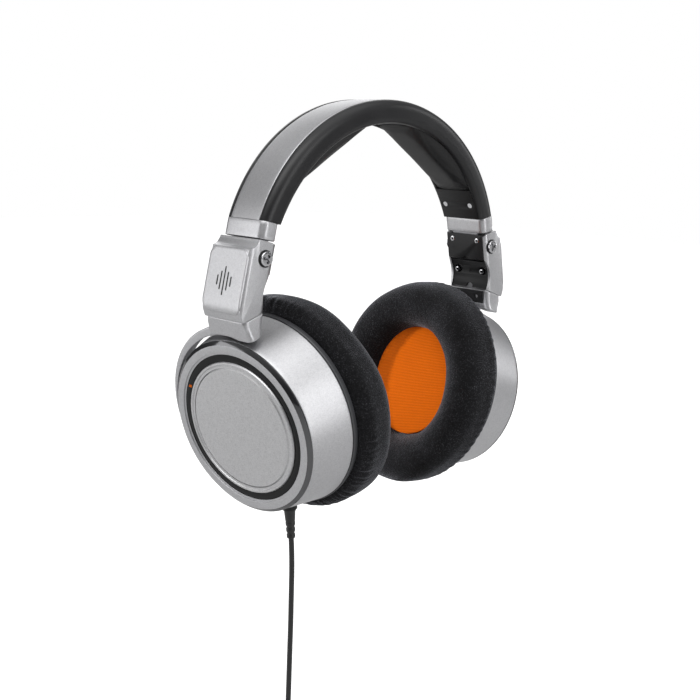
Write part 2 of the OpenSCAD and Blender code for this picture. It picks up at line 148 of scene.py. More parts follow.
def colour(name, description, default):
    """A surface colour that the user may change."""
    return FloatVectorProperty(
        name=name, description=description, default=default, size=3, min=0.0, max=1.0, subtype="COLOR"
    )


class BandSettings(bpy.types.PropertyGroup):
    """Sizes of the headband."""

    arch_radius: length("Arch radius", "Outer radius of the band's arch", 0.0816, 0.07, 0.09)
    arch_drop: length("Arch drop", "Depth of the arch's centre below the crown cushions", 0.065, 0.05, 0.08)
    thickness: length("Thickness", "Thickness of the band's rolled edges", 0.0104, 0.006, 0.014)
    crown_half: length("Half width at the crown", "Half of the band's width at the crown", 0.0152, 0.01, 0.02)
    collar_half: length(
        "Half width at the collars", "Half of the band's width where it enters the collars", 0.0128, 0.01, 0.02
    )
    trim_half: length("Half width of the trim", "Half of the width of the metal trim", 0.0093, 0.005, 0.012)
    cushion_thickness: length(
        "Cushion thickness", "Greatest thickness of the crown cushions", 0.0062, 0.003, 0.01
    )


class CupSettings(bpy.types.PropertyGroup):
    """Sizes of the cups and pads."""

    pad_radius: length("Pad radius", "Outer radius of the ear pads", 0.0513, 0.045, 0.054)
    ear_radius: length("Ear opening", "Radius of the opening for the ear", 0.0273, 0.024, 0.03)
    pad_front: length("Pad front", "Depth of the pad's face behind the cup's outer face", 0.0480, 0.045, 0.052)
    puckers: IntProperty(
        name="Puckers", description="Number of gathers round the back of each ear pad", default=96, min=20,
        max=200
    )


class CableSettings(bpy.types.PropertyGroup):
    """Sizes of the cable."""

    cable_length: length("Cable length", "Whole length of the cable", 3.0, 1.0, 5.0)
    diameter: length("Diameter", "Diameter of the cable", 0.0025, 0.002, 0.003)
    coil_radius: length("Coil radius", "Radius of the middle of the coil's turns", 0.014, 0.012, 0.016)


class ColourSettings(bpy.types.PropertyGroup):
    """Colours of the finishes."""

    metal: colour("Satin metal", "Colour of the satin metal pieces", (0.56, 0.56, 0.575))
    disc: colour("Disc", "Colour of the centre discs", (0.62, 0.62, 0.63))
    band: colour("Band cover", "Colour of the band's cover", (0.010, 0.010, 0.011))
    velour: colour("Velour", "Colour of the ear pads", (0.006, 0.006, 0.0065))
    cloth: colour("Cloth", "Colour of the cloth over the drivers", (0.82, 0.14, 0.002))
    cable: colour("Cable", "Colour of the cable", (0.012, 0.012, 0.012))


def settings():
    """The settings of this scene."""
    return bpy.context.scene.headphones


class HeadphoneSettings(bpy.types.PropertyGroup):
    """All the settings."""

    band: PointerProperty(type=BandSettings)
    cup: PointerProperty(type=CupSettings)
    cable: PointerProperty(type=CableSettings)
    colours: PointerProperty(type=ColourSettings)


# ---------- outlines ----------


def softened(corners, radii, steps=6):
    """A closed outline whose corners are rounded: at each corner an arc of that radius, which touches both
    sides, is swept from one side to the other in equal steps of its angle."""
    p = np.asarray(corners, float)
    r = np.broadcast_to(np.asarray(radii, float), len(p))[:, None]
    to_last, to_next = np.roll(p, 1, 0) - p, np.roll(p, -1, 0) - p
    to_last /= np.linalg.norm(to_last, axis=1, keepdims=True)
    to_next /= np.linalg.norm(to_next, axis=1, keepdims=True)
    half = np.arccos(np.clip((to_last * to_next).sum(1), -1, 1))[:, None] / 2
    between = to_last + to_next
    centre = p + between / np.linalg.norm(between, axis=1, keepdims=True) * r / np.sin(half)
    start = p + to_last * r / np.tan(half) - centre
    end = p + to_next * r / np.tan(half) - centre
    sweep = np.maximum(math.pi - 2 * half, 1e-6)[:, :, None]
    u = np.linspace(0, 1, steps)[None, :, None]
    arc = (np.sin((1 - u) * sweep) * start[:, None] + np.sin(u * sweep) * end[:, None]) / np.sin(sweep)
    return (centre[:, None] + arc).reshape(-1, 2)


def box_outline(x0, x1, y0, y1, r, steps=6):
    """A rounded rectangle, anticlockwise."""
    return softened([(x0, y0), (x1, y0), (x1, y1), (x0, y1)], r, steps)


def refined(outline, spacing):
    """A closed outline with points added by straight interpolation, so that no two are further apart than the
    spacing."""
    ahead = np.roll(outline, -1, 0)
    gaps = np.linalg.norm(ahead - outline, axis=1)
    cuts = np.maximum(np.ceil(gaps / spacing).astype(int), 1)
    base = np.repeat(np.arange(len(outline)), cuts)
    share = (np.arange(cuts.sum()) - np.repeat(np.cumsum(cuts) - cuts, cuts)) / np.repeat(cuts, cuts)
    return outline[base] + (ahead - outline)[base] * share[:, None]


def smooth(x, low, high):
    """0 below low, 1 above high, and a cubic ease between them."""
    t = np.clip((x - low) / (high - low), 0, 1)
    return t * t * (3 - 2 * t)


# ---------- meshes ----------


def quads(rows, cols, round_rows, round_cols, first=0):
    """The quads of a grid of points, joined end to end where it goes round."""
    i, j = np.meshgrid(
        np.arange(rows if round_rows else rows - 1), np.arange(cols if round_cols else cols - 1), indexing="ij"
    )
    i2, j2 = (i + 1) % rows, (j + 1) % cols
    return np.stack([i * cols + j, i * cols + j2, i2 * cols + j2, i2 * cols + j], -1).reshape(-1, 4) + first


def new_object(name, data):
    """An object in the scene that holds this data."""
    obj = bpy.data.objects.new(name, data)
    bpy.context.scene.collection.objects.link(obj)
    return obj


def tidy_mesh(mesh, merge=2e-6, sharp=math.radians(38), turn=True):
    """Merges doubles, points all faces outwards, and shades smooth except across sharp edges."""
    bm = bmesh.new()
    bm.from_mesh(mesh)
    bmesh.ops.remove_doubles(bm, verts=bm.verts, dist=merge)
    bmesh.ops.dissolve_degenerate(bm, edges=bm.edges, dist=1e-8)
    if turn:
        bmesh.ops.recalc_face_normals(bm, faces=bm.faces)
    bm.to_mesh(mesh)
    bm.free()
    mesh.polygons.foreach_set("use_smooth", np.ones(len(mesh.polygons), bool))
    mesh.set_sharp_from_angle(angle=sharp)
    mesh.update()


def points_of(mesh):
    """The mesh's points as one array."""
    co = np.empty(len(mesh.vertices) * 3)
    mesh.vertices.foreach_get("co", co)
    return co.reshape(-1, 3)


def keep_place(mesh, place, side):
    """Writes each point's place in the piece's own frame, in millimetres, as the attribute own_mm."""
    own = from_row(points_of(mesh), place, side)
    layer = mesh.attributes.get("own_mm") or mesh.attributes.new("own_mm", "FLOAT_VECTOR", "POINT")
    layer.data.foreach_set("vector", own.astype(np.float32).ravel())


def surface(name, grids, place=ROW, side=1, sharp=38):
    """One mesh of several grids. Each is (points, goes round in rows, goes round in columns), in millimetres
    in the piece's frame. A row or column whose points coincide closes as a pole when the doubles are
    merged."""
    points, faces, first = [], [], 0
    for grid, round_rows, round_cols in grids:
        rows, cols = grid.shape[:2]
        points.append(grid.reshape(-1, 3))
        faces.append(quads(rows, cols, round_rows, round_cols, first))
        first += rows * cols
    mesh = bpy.data.meshes.new(name)
    mesh.from_pydata(to_row(np.concatenate(points), place, side), [], np.concatenate(faces))
    tidy_mesh(mesh, sharp=math.radians(sharp))
    keep_place(mesh, place, side)
    return new_object(name, mesh)


def turned(outline, steps=192):
    """An outline of (radius, depth) turned about the z axis: x = r cos a, y = r sin a, z = depth."""
    a = np.linspace(0, 2 * math.pi, steps, endpoint=False)[:, None]
    r, s = outline[:, 0], outline[:, 1]
    return np.stack([r * np.cos(a), r * np.sin(a), s + 0 * a], -1)


def stacked(loops_and_levels):
    """Flat loops of points, each lifted to its level."""
    return np.stack([np.column_stack([loop, np.full(len(loop), level)]) for loop, level in loops_and_levels])


def capped(outline, insets_and_levels):
    """An outline lifted along z: at each level it is shrunk by an inset towards its own middle line, and
    closed by a pole at both ends. The list holds (inset in millimetres, level)."""
    middle = outline.mean(0)
    away = outline - middle
    reach = np.abs(away).max(0)
    return stacked(
        [(middle + away * (1 - np.minimum(inset / reach, 1)), level) for inset, level in insets_and_levels]
    )


def shown_mesh(obj):
    """A new mesh of what the object shows, its modifiers included."""
    graph = bpy.context.evaluated_depsgraph_get()
    return bpy.data.meshes.new_from_object(obj.evaluated_get(graph), depsgraph=graph)


def applied(obj):
    """Makes what the modifiers show the object's own mesh, and takes the modifiers off."""
    made = shown_mesh(obj)
    obj.modifiers.clear()
    obj.data = made


def rounded_edges(obj, width, segments, angle):
    """Rounds the edges sharper than the angle in degrees, over a width in millimetres."""
    m = obj.modifiers.new("Edges", "BEVEL")
    m.width, m.segments, m.limit_method, m.angle_limit = width * MM, segments, "ANGLE", math.radians(angle)
    applied(obj)


def made_finer(obj):
    """One subdivision, applied."""
    m = obj.modifiers.new("Finer", "SUBSURF")
    m.levels = m.render_levels = 1
    applied(obj)


def ended(rows):
    """The rows with each end drawn in to its middle point, so that the sweep is closed."""
    ends = [rows[i : i + 1 or None].mean(1, keepdims=True) + 0 * rows[:1] for i in (0, -1)]
    return np.concatenate([ends[0], rows, ends[1]])


def carved(obj, cutters, operation="DIFFERENCE"):
    """Cuts each closed cutter out of the object, or joins it on, and removes the cutter."""
    for cutter in cutters:
        m = obj.modifiers.new("Cut", "BOOLEAN")
        m.operation, m.solver, m.object = operation, "EXACT", cutter
        applied(obj)
        bpy.data.objects.remove(cutter)


def block_cutter(x, y, z, place, side):
    """A plain box used only as a cutter, given by its (low, high) along each axis."""
    outline = np.array([(x[0], y[0]), (x[1], y[0]), (x[1], y[1]), (x[0], y[1])], float)
    return surface(
        "cutter", [(capped(outline, [(99, z[0]), (0, z[0]), (0, z[1]), (99, z[1])]), False, True)], place, side
    )


def rod(r, low, high, along, at=(0, 0, 0), steps=48):
    """A closed cylinder along x, y or z, as a grid: a circle of radius r carried from low to high, with poles
    at its ends."""
    a = np.linspace(0, 2 * math.pi, steps, endpoint=False)
    ring = np.column_stack([np.cos(a), np.sin(a)])
    levels = [(0, low), (r, low), (r, high), (0, high)]
    rows = np.stack([np.column_stack([ring * radius, np.full(steps, level)]) for radius, level in levels])
    order = {"x": [2, 0, 1], "y": [1, 2, 0], "z": [0, 1, 2]}[along]
    return rows[..., order] + np.array(at)


def rod_cutter(r, low, high, along, at, place, side):
    """A cylinder used only as a cutter."""
    return surface("cutter", [(rod(r, low, high, along, at), False, True)], place, side)


def finished(obj, body, slot, *nodes):
    """The piece rides on its body, stands for its CAD nodes and wears its slot's finish."""
    obj.data.materials.clear()
    obj.data.materials.append(finish(slot))
    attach(obj, body)
    if nodes:
        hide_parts(*nodes)
    return obj


def node_copy(node, name):
    """A merged copy of a CAD node's mesh."""
    mesh = frame["nodes"][node].data.copy()
    mesh.materials.clear()
    mesh.name = name
    tidy_mesh(mesh, merge=1e-6, turn=False)
    return new_object(name, mesh)


def edged_copy(node, name, width, place, side):
    """A copy of a CAD node whose edges are rounded off by a small bevel."""
    obj = node_copy(node, name)
    bm = bmesh.new()
    bm.from_mesh(obj.data)
    bmesh.ops.dissolve_limit(bm, angle_limit=math.radians(1), verts=bm.verts, edges=bm.edges)
    bm.to_mesh(obj.data)
    bm.free()
    rounded_edges(obj, width, 2, 30)
    tidy_mesh(obj.data, merge=1e-7, turn=False)
    keep_place(obj.data, place, side)
    return obj


def dressed(node, slot):
    """A CAD node that stays as it is, with its slot's finish."""
    slots = frame["nodes"][node].data.materials
    slots.clear()
    slots.append(finish(slot))


# ---------- finishes ----------


def fill(tree, node, inputs):
    """Links each input that is given as a socket, and sets any other."""
    for key, value in inputs.items():
        socket = node.inputs[key]
        if isinstance(value, bpy.types.NodeSocket):
            tree.links.new(value, socket)
        else:
            socket.default_value = value


def add(tree, kind, inputs=None, **props):
    """A node with its properties and inputs set."""
    n = tree.nodes.new(kind)
    for key, value in props.items():
        setattr(n, key, value)
    fill(tree, n, inputs or {})
    return n


def maths(tree, operation, a, b=0.0):
    """One sum, product or other step on numbers."""
    return add(tree, "ShaderNodeMath", {0: a, 1: b}, operation=operation).outputs[0]


def plus(tree, a, b):
    """The sum of two numbers."""
    return maths(tree, "ADD", a, b)


def times(tree, a, b):
    """The product of two numbers."""
    return maths(tree, "MULTIPLY", a, b)


def remap(tree, value, low, high, to_low, to_high):
    """A number eased from one range to another."""
    return add(
        tree, "ShaderNodeMapRange",
        {"Value": value, "From Min": low, "From Max": high, "To Min": to_low, "To Max": to_high},
        interpolation_type="SMOOTHSTEP"
    ).outputs[0]


def noise(tree, place, scale, detail=2.0, roughness=0.5):
    """Soft noise from 0 to 1 at that many grains a metre."""
    return add(
        tree, "ShaderNodeTexNoise", {"Vector": place, "Scale": scale, "Detail": detail, "Roughness": roughness}
    ).outputs["Fac"]


def mixed(tree, share, a, b):
    """Colour a going to colour b."""
    return add(tree, "ShaderNodeMix", {0: share, 6: a, 7: b}, data_type="RGBA").outputs[2]


def group(name, inputs, outputs, make):
    """A shader node group, built once. Inputs are (name, socket type, default) and outputs (name, socket
    type)."""
    found = bpy.data.node_groups.get(name)
    if found:
        return found
    tree = bpy.data.node_groups.new(name, "ShaderNodeTree")
    for label, kind, default in inputs:
        s = tree.interface.new_socket(name=label, in_out="INPUT", socket_type=kind)
        if default is not None:
            s.default_value = default
    for label, kind in outputs:
        tree.interface.new_socket(name=label, in_out="OUTPUT", socket_type=kind)
    entry, leave = tree.nodes.new("NodeGroupInput"), tree.nodes.new("NodeGroupOutput")
    for label, value in make(tree, entry.outputs).items():
        tree.links.new(value, leave.inputs[label])
    return tree


def place_group(tree, made, inputs):
    """A group placed in a material, with its own values."""
    n = tree.nodes.new("ShaderNodeGroup")
    n.node_tree = made
    fill(tree, n, inputs)
    return n.outputs


NUMBER, VECTOR, COLOUR = "NodeSocketFloat", "NodeSocketVector", "NodeSocketColor"


def blasted_group():
    """Fine blasted or painted grain: two sizes of noise make the height, and the colour and roughness vary a
    little with them."""

    def make(tree, given):
        fine = noise(tree, given["Place"], given["Grains"], 1.0)
        coarse = noise(tree, given["Place"], times(tree, given["Grains"], 0.31), 3.0, 0.6)
        broad = noise(tree, given["Place"], 22.0, 2.0)
        height = plus(tree, times(tree, fine, 0.65), times(tree, coarse, 0.35))
        shade = times(tree, maths(tree, "SUBTRACT", height, 0.5), given["Speckle"])
        toned = mixed(tree, remap(tree, shade, -0.01, 0.01, 0, 1), (0, 0, 0, 1), (1, 1, 1, 1))
        toned = mixed(tree, maths(tree, "ABSOLUTE", shade), given["Colour"], toned)
        rough = plus(tree, given["Roughness"], times(tree, maths(tree, "SUBTRACT", broad, 0.5), 0.08))
        return {"Colour": toned, "Roughness": rough, "Height": height}

    return group(
        "Blasted grain",
        [
            ("Place", VECTOR, None), ("Colour", COLOUR, (0.6, 0.6, 0.6, 1)), ("Grains", NUMBER, 2600.0),
            ("Speckle", NUMBER, 0.3), ("Roughness", NUMBER, 0.35)
        ],
        [("Colour", COLOUR), ("Roughness", NUMBER), ("Height", NUMBER)],
        make,
    )


def moulded_group():
    """Moulded or coated grain: soft cells with a fine noise on them, and a slow change of gloss where hands
    rub it."""

    def make(tree, given):
        cells = add(
            tree, "ShaderNodeTexVoronoi",
            {"Vector": given["Place"], "Scale": given["Grains"], "Randomness": 1.0}, feature="SMOOTH_F1"
        ).outputs["Distance"]
        fine = noise(tree, given["Place"], times(tree, given["Grains"], 2.3), 2.0)
        broad = noise(tree, given["Place"], 60.0, 3.0)
        height = plus(tree, times(tree, cells, 0.7), times(tree, fine, 0.3))
        lifted = mixed(tree, times(tree, broad, given["Rubbed"]), given["Colour"], (0.16, 0.16, 0.17, 1))
        rough = plus(tree, given["Roughness"], times(tree, maths(tree, "SUBTRACT", broad, 0.5), 0.12))
        return {"Colour": lifted, "Roughness": rough, "Height": height}

    return group(
        "Moulded grain",
        [
            ("Place", VECTOR, None), ("Colour", COLOUR, (0.03, 0.03, 0.03, 1)), ("Grains", NUMBER, 1200.0),
            ("Rubbed", NUMBER, 0.1), ("Roughness", NUMBER, 0.5)
        ],
        [("Colour", COLOUR), ("Roughness", NUMBER), ("Height", NUMBER)],
        make,
    )


def lathe_group():
    """Turned metal: rings round the cup's axis, from the sine of the radius with a little noise on it."""

    def make(tree, given):
        flat = add(
            tree, "ShaderNodeVectorMath", {0: given["Own place"], 1: (1, 1, 0)}, operation="MULTIPLY"
        ).outputs[0]
        radius = add(tree, "ShaderNodeVectorMath", {0: flat}, operation="LENGTH").outputs["Value"]
        along = add(tree, "ShaderNodeCombineXYZ", {"X": times(tree, radius, given["Rings"])}).outputs[0]
        lines = noise(tree, along, 1.0, 2.0)
        rough = plus(tree, given["Roughness"], times(tree, lines, 0.06))
        return {"Roughness": rough, "Height": lines}

    return group(
        "Turned rings",
        [("Own place", VECTOR, None), ("Rings", NUMBER, 6.0), ("Roughness", NUMBER, 0.1)],
        [("Roughness", NUMBER), ("Height", NUMBER)],
        make,
    )


def knit_group():
    """Fine knit: rows of small stitches. Each stitch is a bump of sine across by sine along, every other row
    is shifted by half a stitch, and noise moves and shades the yarn. Where a stitch sinks, the colour goes
    to a deeper one: painted shade in the hollows between the stitches."""

    def make(tree, given):
        wobble = noise(tree, given["Own place"], 0.35, 2.0)
        level = add(
            tree, "ShaderNodeVectorRotate", {"Vector": given["Own place"], "Angle": math.radians(-14)},
            rotation_type="Z_AXIS"
        ).outputs[0]
        drift = add(
            tree, "ShaderNodeCombineXYZ", {"X": times(tree, wobble, 0.5), "Y": times(tree, wobble, 0.25)}
        )
        moved = add(tree, "ShaderNodeVectorMath", {0: level, 1: drift.outputs[0]}, operation="ADD").outputs[0]
        parts = add(tree, "ShaderNodeSeparateXYZ", {0: moved}).outputs
        row = times(tree, parts["Y"], given["Rows"])
        odd = maths(tree, "MODULO", maths(tree, "FLOOR", plus(tree, row, 400.0)), 2.0)
        shift = times(tree, odd, 0.5)
        col = plus(tree, times(tree, parts["X"], given["Stitches"]), shift)
        across = maths(tree, "ABSOLUTE", maths(tree, "SINE", times(tree, col, math.pi)))
        along = maths(tree, "ABSOLUTE", maths(tree, "SINE", times(tree, row, math.pi)))
        stitch = times(tree, maths(tree, "POWER", across, 0.6), maths(tree, "POWER", along, 0.7))
        fuzz = noise(tree, given["Own place"], 5.0, 3.0)
        height = plus(tree, stitch, times(tree, fuzz, 0.25))
        # Painted shade: where the stitch sinks, the colour goes to the hollow shade colour.
        gap = remap(tree, stitch, 0.0, 0.6, 0.35, 1.0)
        return {
            "Colour": mixed(tree, gap, given["Hollow shade"], mixed(tree, fuzz, given["Colour"], given["Light"])),
            "Height": height
        }

    return group(
        "Fine knit",
        [
            ("Own place", VECTOR, None), ("Colour", COLOUR, None), ("Light", COLOUR, None),
            ("Hollow shade", COLOUR, None), ("Rows", NUMBER, 1.1), ("Stitches", NUMBER, 1.3)
        ],
        [("Colour", COLOUR), ("Height", NUMBER)],
        make,
    )


def pile_group():
    """Velour pile: fine tufts of noise that lift to a lighter colour, a painted sheen in light speckles, over broad
    patches where the pile lies another way."""

    def make(tree, given):
        tufts = noise(tree, given["Place"], given["Tufts"], 2.0, 0.7)
        lie = noise(tree, given["Place"], 70.0, 3.0, 0.6)
        # The lighter speckles on the tufts are painted sheen, fewer where the broad patches are low.
        sheen_tip_share = times(tree, remap(tree, tufts, 0.52, 0.72, 0.0, 1.0), given["Sheen tips"])
        sheen_speckles = times(tree, sheen_tip_share, remap(tree, lie, 0.3, 0.7, 0.35, 1.0))
        toned = mixed(
            tree, remap(tree, lie, 0.3, 0.7, 0.0, 0.5), given["Colour"],
            mixed(tree, 0.6, given["Colour"], (0.02, 0.02, 0.023, 1))
        )
        return {
            "Colour": mixed(tree, sheen_speckles, toned, given["Sheen tip"]), "Height": plus(tree, tufts, times(tree, lie, 0.4))
        }

    return group(
        "Velour pile",
        [
            ("Place", VECTOR, None), ("Colour", COLOUR, None), ("Sheen tip", COLOUR, None), ("Tufts", NUMBER, 1500.0),
            ("Sheen tips", NUMBER, 0.6)
        ],
        [("Colour", COLOUR), ("Height", NUMBER)],
        make,
    )


def rgba(c):
    """A colour with full alpha."""
    return (c[0], c[1], c[2], 1.0)


def surface_material(start, colour_out, rough_out, height, bump, distance, **fixed):
    """A Principled material. What varies comes through links, and each fixed number is set on its own
    socket."""
    mat, tree, _ = start
    shader = tree.nodes["Principled BSDF"]
    for key, value in fixed.items():
        shader.inputs[key.replace("_", " ")].default_value = value
    if colour_out is not None:
        tree.links.new(colour_out, shader.inputs["Base Color"])
    if rough_out is not None:
        tree.links.new(rough_out, shader.inputs["Roughness"])
    bumped = add(tree, "ShaderNodeBump", {"Strength": bump, "Distance": distance, "Height": height})
    tree.links.new(bumped.outputs[0], shader.inputs["Normal"])
    return mat


def start_material(name):
    """A new material, its tree and its object coordinates."""
    mat = bpy.data.materials.new(name)
    mat.use_nodes = True
    tree = mat.node_tree
    place = tree.nodes.new("ShaderNodeTexCoord").outputs["Object"]
    return mat, tree, place


def own_place(tree):
    """The piece's place in its own frame, in millimetres."""
    return add(tree, "ShaderNodeAttribute", attribute_name="own_mm").outputs["Vector"]


def metal_finish(name, tint, grains, speckle, roughness, bump):
    """Satin metal with a blasted grain."""
    start = start_material(name)
    g = place_group(
        start[1], blasted_group(),
        {"Place": start[2], "Colour": rgba(tint), "Grains": grains, "Speckle": speckle, "Roughness": roughness}
    )
    return surface_material(start, g["Colour"], g["Roughness"], g["Height"], bump, 0.00005, Metallic=1.0)


def plastic_finish(name, tint, grains, rubbed, roughness, bump, distance=0.00006, **fixed):
    """Moulded plastic, rubber or a soft coated cover."""
    start = start_material(name)
    g = place_group(
        start[1], moulded_group(),
        {"Place": start[2], "Colour": rgba(tint), "Grains": grains, "Rubbed": rubbed, "Roughness": roughness}
    )
    return surface_material(start, g["Colour"], g["Roughness"], g["Height"], bump, distance, **fixed)


def turned_finish(name, tint, rings, roughness, bump):
    """Turned and polished metal."""
    start = start_material(name)
    g = place_group(
        start[1], lathe_group(), {"Own place": own_place(start[1]), "Rings": rings, "Roughness": roughness}
    )
    return surface_material(
        start, None, g["Roughness"], g["Height"], bump, 0.00002, Base_Color=rgba(tint), Metallic=1.0
    )


def velour_finish(name, tint):
    """Black velour, with painted sheen speckles on its pile."""
    start = start_material(name)
    g = place_group(
        start[1], pile_group(),
        # The lighter speckle colour is painted sheen.
        {"Place": start[2], "Colour": rgba(tint), "Sheen tip": (0.085, 0.085, 0.094, 1), "Tufts": 1850.0, "Sheen tips": 0.8}
    )
    return surface_material(
        start, g["Colour"], None, g["Height"], 0.9, 0.0004, Roughness=0.95, Sheen_Weight=0.42,
        Sheen_Roughness=0.32, Sheen_Tint=(0.8, 0.82, 0.9, 1), Specular_IOR_Level=0.15
    )


def knit_finish(name, tint):
    """Orange knitted cloth, with painted shade in the hollows between its stitches."""
    start = start_material(name)
    # A deeper orange for the hollows between the stitches: painted shade.
    hollow_shade = tuple(c * 0.28 for c in tint)
    light = (min(tint[0] * 1.1, 1), tint[1] * 1.25, tint[2] * 1.4)
    g = place_group(
        start[1], knit_group(),
        {
            "Own place": own_place(start[1]), "Colour": rgba(tint), "Light": rgba(light), "Hollow shade": rgba(hollow_shade),
            "Rows": 1.25, "Stitches": 1.9
        }
    )
    return surface_material(
        start, g["Colour"], None, g["Height"], 0.7, 0.0003, Roughness=0.85, Sheen_Weight=0.1,
        Sheen_Roughness=0.5, Sheen_Tint=(1.0, 0.5, 0.2, 1), Specular_IOR_Level=0.1
    )


def finish(slot):
    """The material of a record's slot, made when it is first asked for."""
    found = bpy.data.materials.get("finish_" + slot)
    if found:
        return found
    c = settings().colours
    name = "finish_" + slot
    makers = {
        "satin_metal": lambda: metal_finish(name, c.metal, 2300.0, 0.7, 0.42, 0.28),
        "satin_disc": lambda: metal_finish(name, c.disc, 2100.0, 0.9, 0.44, 0.4),
        # The polished rim's low tint paints the black reflections of its bevel into the metal's colour.
        "polished_rim": lambda: turned_finish(name, (0.15, 0.15, 0.155), 5.0, 0.07, 0.03),
        "spring_steel": lambda: metal_finish(name, (0.42, 0.42, 0.44), 900.0, 0.2, 0.3, 0.1),
        "screw_steel": lambda: metal_finish(name, (0.72, 0.72, 0.74), 3000.0, 0.1, 0.14, 0.03),
        "magnet_iron": lambda: metal_finish(name, (0.2, 0.2, 0.21), 1500.0, 0.2, 0.45, 0.2),
        "plug_metal": lambda: metal_finish(name, (0.6, 0.6, 0.62), 2600.0, 0.15, 0.2, 0.05),
        "gloss_black": lambda: plastic_finish(
            name, (0.003, 0.003, 0.0035), 300.0, 0.005, 0.12, 0.01, Specular_IOR_Level=0.28
        ),
        "black_plastic": lambda: plastic_finish(
            name, (0.009, 0.009, 0.0095), 2400.0, 0.03, 0.42, 0.35, Specular_IOR_Level=0.3
        ),
        "pad_ring_plastic": lambda: plastic_finish(name, (0.045, 0.046, 0.05), 2600.0, 0.08, 0.4, 0.25),
        "band_cover": lambda: plastic_finish(name, c.band, 1700.0, 0.03, 0.34, 0.25, Specular_IOR_Level=0.38),
        "cushion_leather": lambda: plastic_finish(
            name, (0.009, 0.009, 0.0095), 1500.0, 0.03, 0.44, 0.4, Specular_IOR_Level=0.35
        ),
        "driver_film": lambda: plastic_finish(name, (0.55, 0.53, 0.46), 900.0, 0.05, 0.35, 0.1),
        "cable_rubber": lambda: plastic_finish(name, c.cable, 2200.0, 0.08, 0.45, 0.25),
        "tie_fabric": lambda: plastic_finish(name, (0.02, 0.02, 0.02), 1400.0, 0.15, 0.85, 0.9, 0.0002),
        "velour": lambda: velour_finish(name, c.velour),
        "orange_cloth": lambda: knit_finish(name, c.cloth),
    }
    return makers[slot]()


# ---------- stage ----------

# The view: the point looked at, the way back to the camera, its distance, its roll and its lens
LOOK_AT = (-0.00528, 0.00528, -0.1009)
AZIMUTH, ELEVATION, ROLL = -45.03, 10.39, 2.3
DISTANCE, LENS = 0.5267, 56.39
FLOOR_DROP = 0.022
FLOOR_HALF = 4000.0


def add_camera():
    """A camera on the line of the azimuth and elevation, rolled about its own axis."""
    a, e, r = (math.radians(x) for x in (AZIMUTH, ELEVATION, ROLL))
    back = np.array([math.sin(a) * math.cos(e), -math.cos(a) * math.cos(e), math.sin(e)])
    right = np.array([math.cos(a), math.sin(a), 0.0])
    up = np.cross(back, right)
    turned_right = right * math.cos(r) + up * math.sin(r)
    turned_up = np.cross(back, turned_right)
    data = bpy.data.cameras.new("camera")
    data.lens, data.sensor_width = LENS, 36.0
    data.clip_start, data.clip_end = 0.01, 20.0
    camera = new_object("camera", data)
    stands = Matrix.Translation(np.array(LOOK_AT) + back * DISTANCE)
    camera.matrix_world = stands @ Matrix(axes_of(turned_right, turned_up, back)).to_4x4()
    bpy.context.scene.camera = camera


def soft_box(name, at, aim, size, power):
    """A rectangular area light that looks at a point."""
    data = bpy.data.lights.new(name, "AREA")
    data.shape, data.size, data.size_y = "RECTANGLE", size[0], size[1]
    data.energy = power
    lamp = new_object(name, data)
    lamp.location = at
    lamp.rotation_euler = (Vector(aim) - Vector(at)).to_track_quat("-Z", "Y").to_euler()


def far_light(name, power, spread, turn):
    """A sun turned by these angles, with its light spread over an angle in radians."""
    data = bpy.data.lights.new(name, "SUN")
    data.energy, data.angle = power, spread
    lamp = new_object(name, data)
    lamp.rotation_euler = turn
    return lamp


class HEADPHONES_OT_stage(bpy.types.Operator):
    """Camera, soft studio light and a pale floor"""

    bl_idname = "headphones.stage"
    bl_label = "Stage"

    def execute(self, context):
        add_camera()
        low = (CAD_BOX[0][2] - FLOOR_DROP) / MM
        outline = np.array([(-1, -1), (1, -1), (1, 1), (-1, 1)]) * FLOOR_HALF
        closed = [(2 * FLOOR_HALF, low - 4), (0, low - 4), (0, low), (2 * FLOOR_HALF, low)]
        floor = surface("floor", [(capped(outline, closed), False, True)])
        start = start_material("pale_floor")
        _, tree, place = start
        grain = noise(tree, place, 90.0, 2.0)
        tone = mixed(tree, grain, (0.48, 0.48, 0.48, 1), (0.5, 0.5, 0.5, 1))
        pale = surface_material(
            start, tone, None, grain, 0.02, 0.0002, Roughness=0.9, Specular_IOR_Level=0.0, Emission_Strength=1.0
        )
        seen = add(tree, "ShaderNodeLightPath").outputs["Is Camera Ray"]
        tree.links.new(
            mixed(tree, seen, (0, 0, 0, 1), (0.8, 0.8, 0.8, 1)),
            tree.nodes["Principled BSDF"].inputs["Emission Color"]
        )
        floor.data.materials.append(pale)
        aim = (0.0, 0.0, -0.09)
        soft_box("key_above", (-0.45, -0.25, 0.75), aim, (0.8, 0.5), 3.0)
        soft_box("left", (-1.0, 0.75, 0.0), (0, 0, -0.1), (0.7, 0.9), 3.8)
        soft_box("right", (1.1, -0.45, 0.25), aim, (0.35, 0.8), 2.0)
        soft_box("front_right", (0.25, -1.05, 0.15), aim, (0.35, 0.9), 3.0)
        soft_box("behind", (0.5, 0.9, 0.35), aim, (0.9, 0.5), 2.4)
        far_light("sky", 1.5, 1.6, (0.25, -0.2, 0))
        beam = far_light("beam", 3.0, 0.08, Vector((-0.8, 2.3, 0.2)).to_track_quat("Z", "Y").to_euler())
        beam.visible_glossy = False
        world = bpy.data.worlds.new("studio")
        world.use_nodes = True
        tree = world.node_tree
        seen = add(tree, "ShaderNodeLightPath").outputs["Is Camera Ray"]
        heading = add(tree, "ShaderNodeTexCoord").outputs["Generated"]
        height = add(tree, "ShaderNodeSeparateXYZ", {"Vector": heading}).outputs["Z"]
        band = remap(tree, height, 0.1, 0.6, 0.0, 1.0)
        room = mixed(tree, band, (0.10, 0.10, 0.104, 1), (0.34, 0.34, 0.34, 1))
        shade = tree.nodes["Background"]
        tree.links.new(mixed(tree, seen, room, (1, 1, 1, 1)), shade.inputs["Color"])
        context.scene.world = world
        context.scene.view_settings.view_transform = "Standard"
        return {"FINISHED"}


# ---------- cable ----------

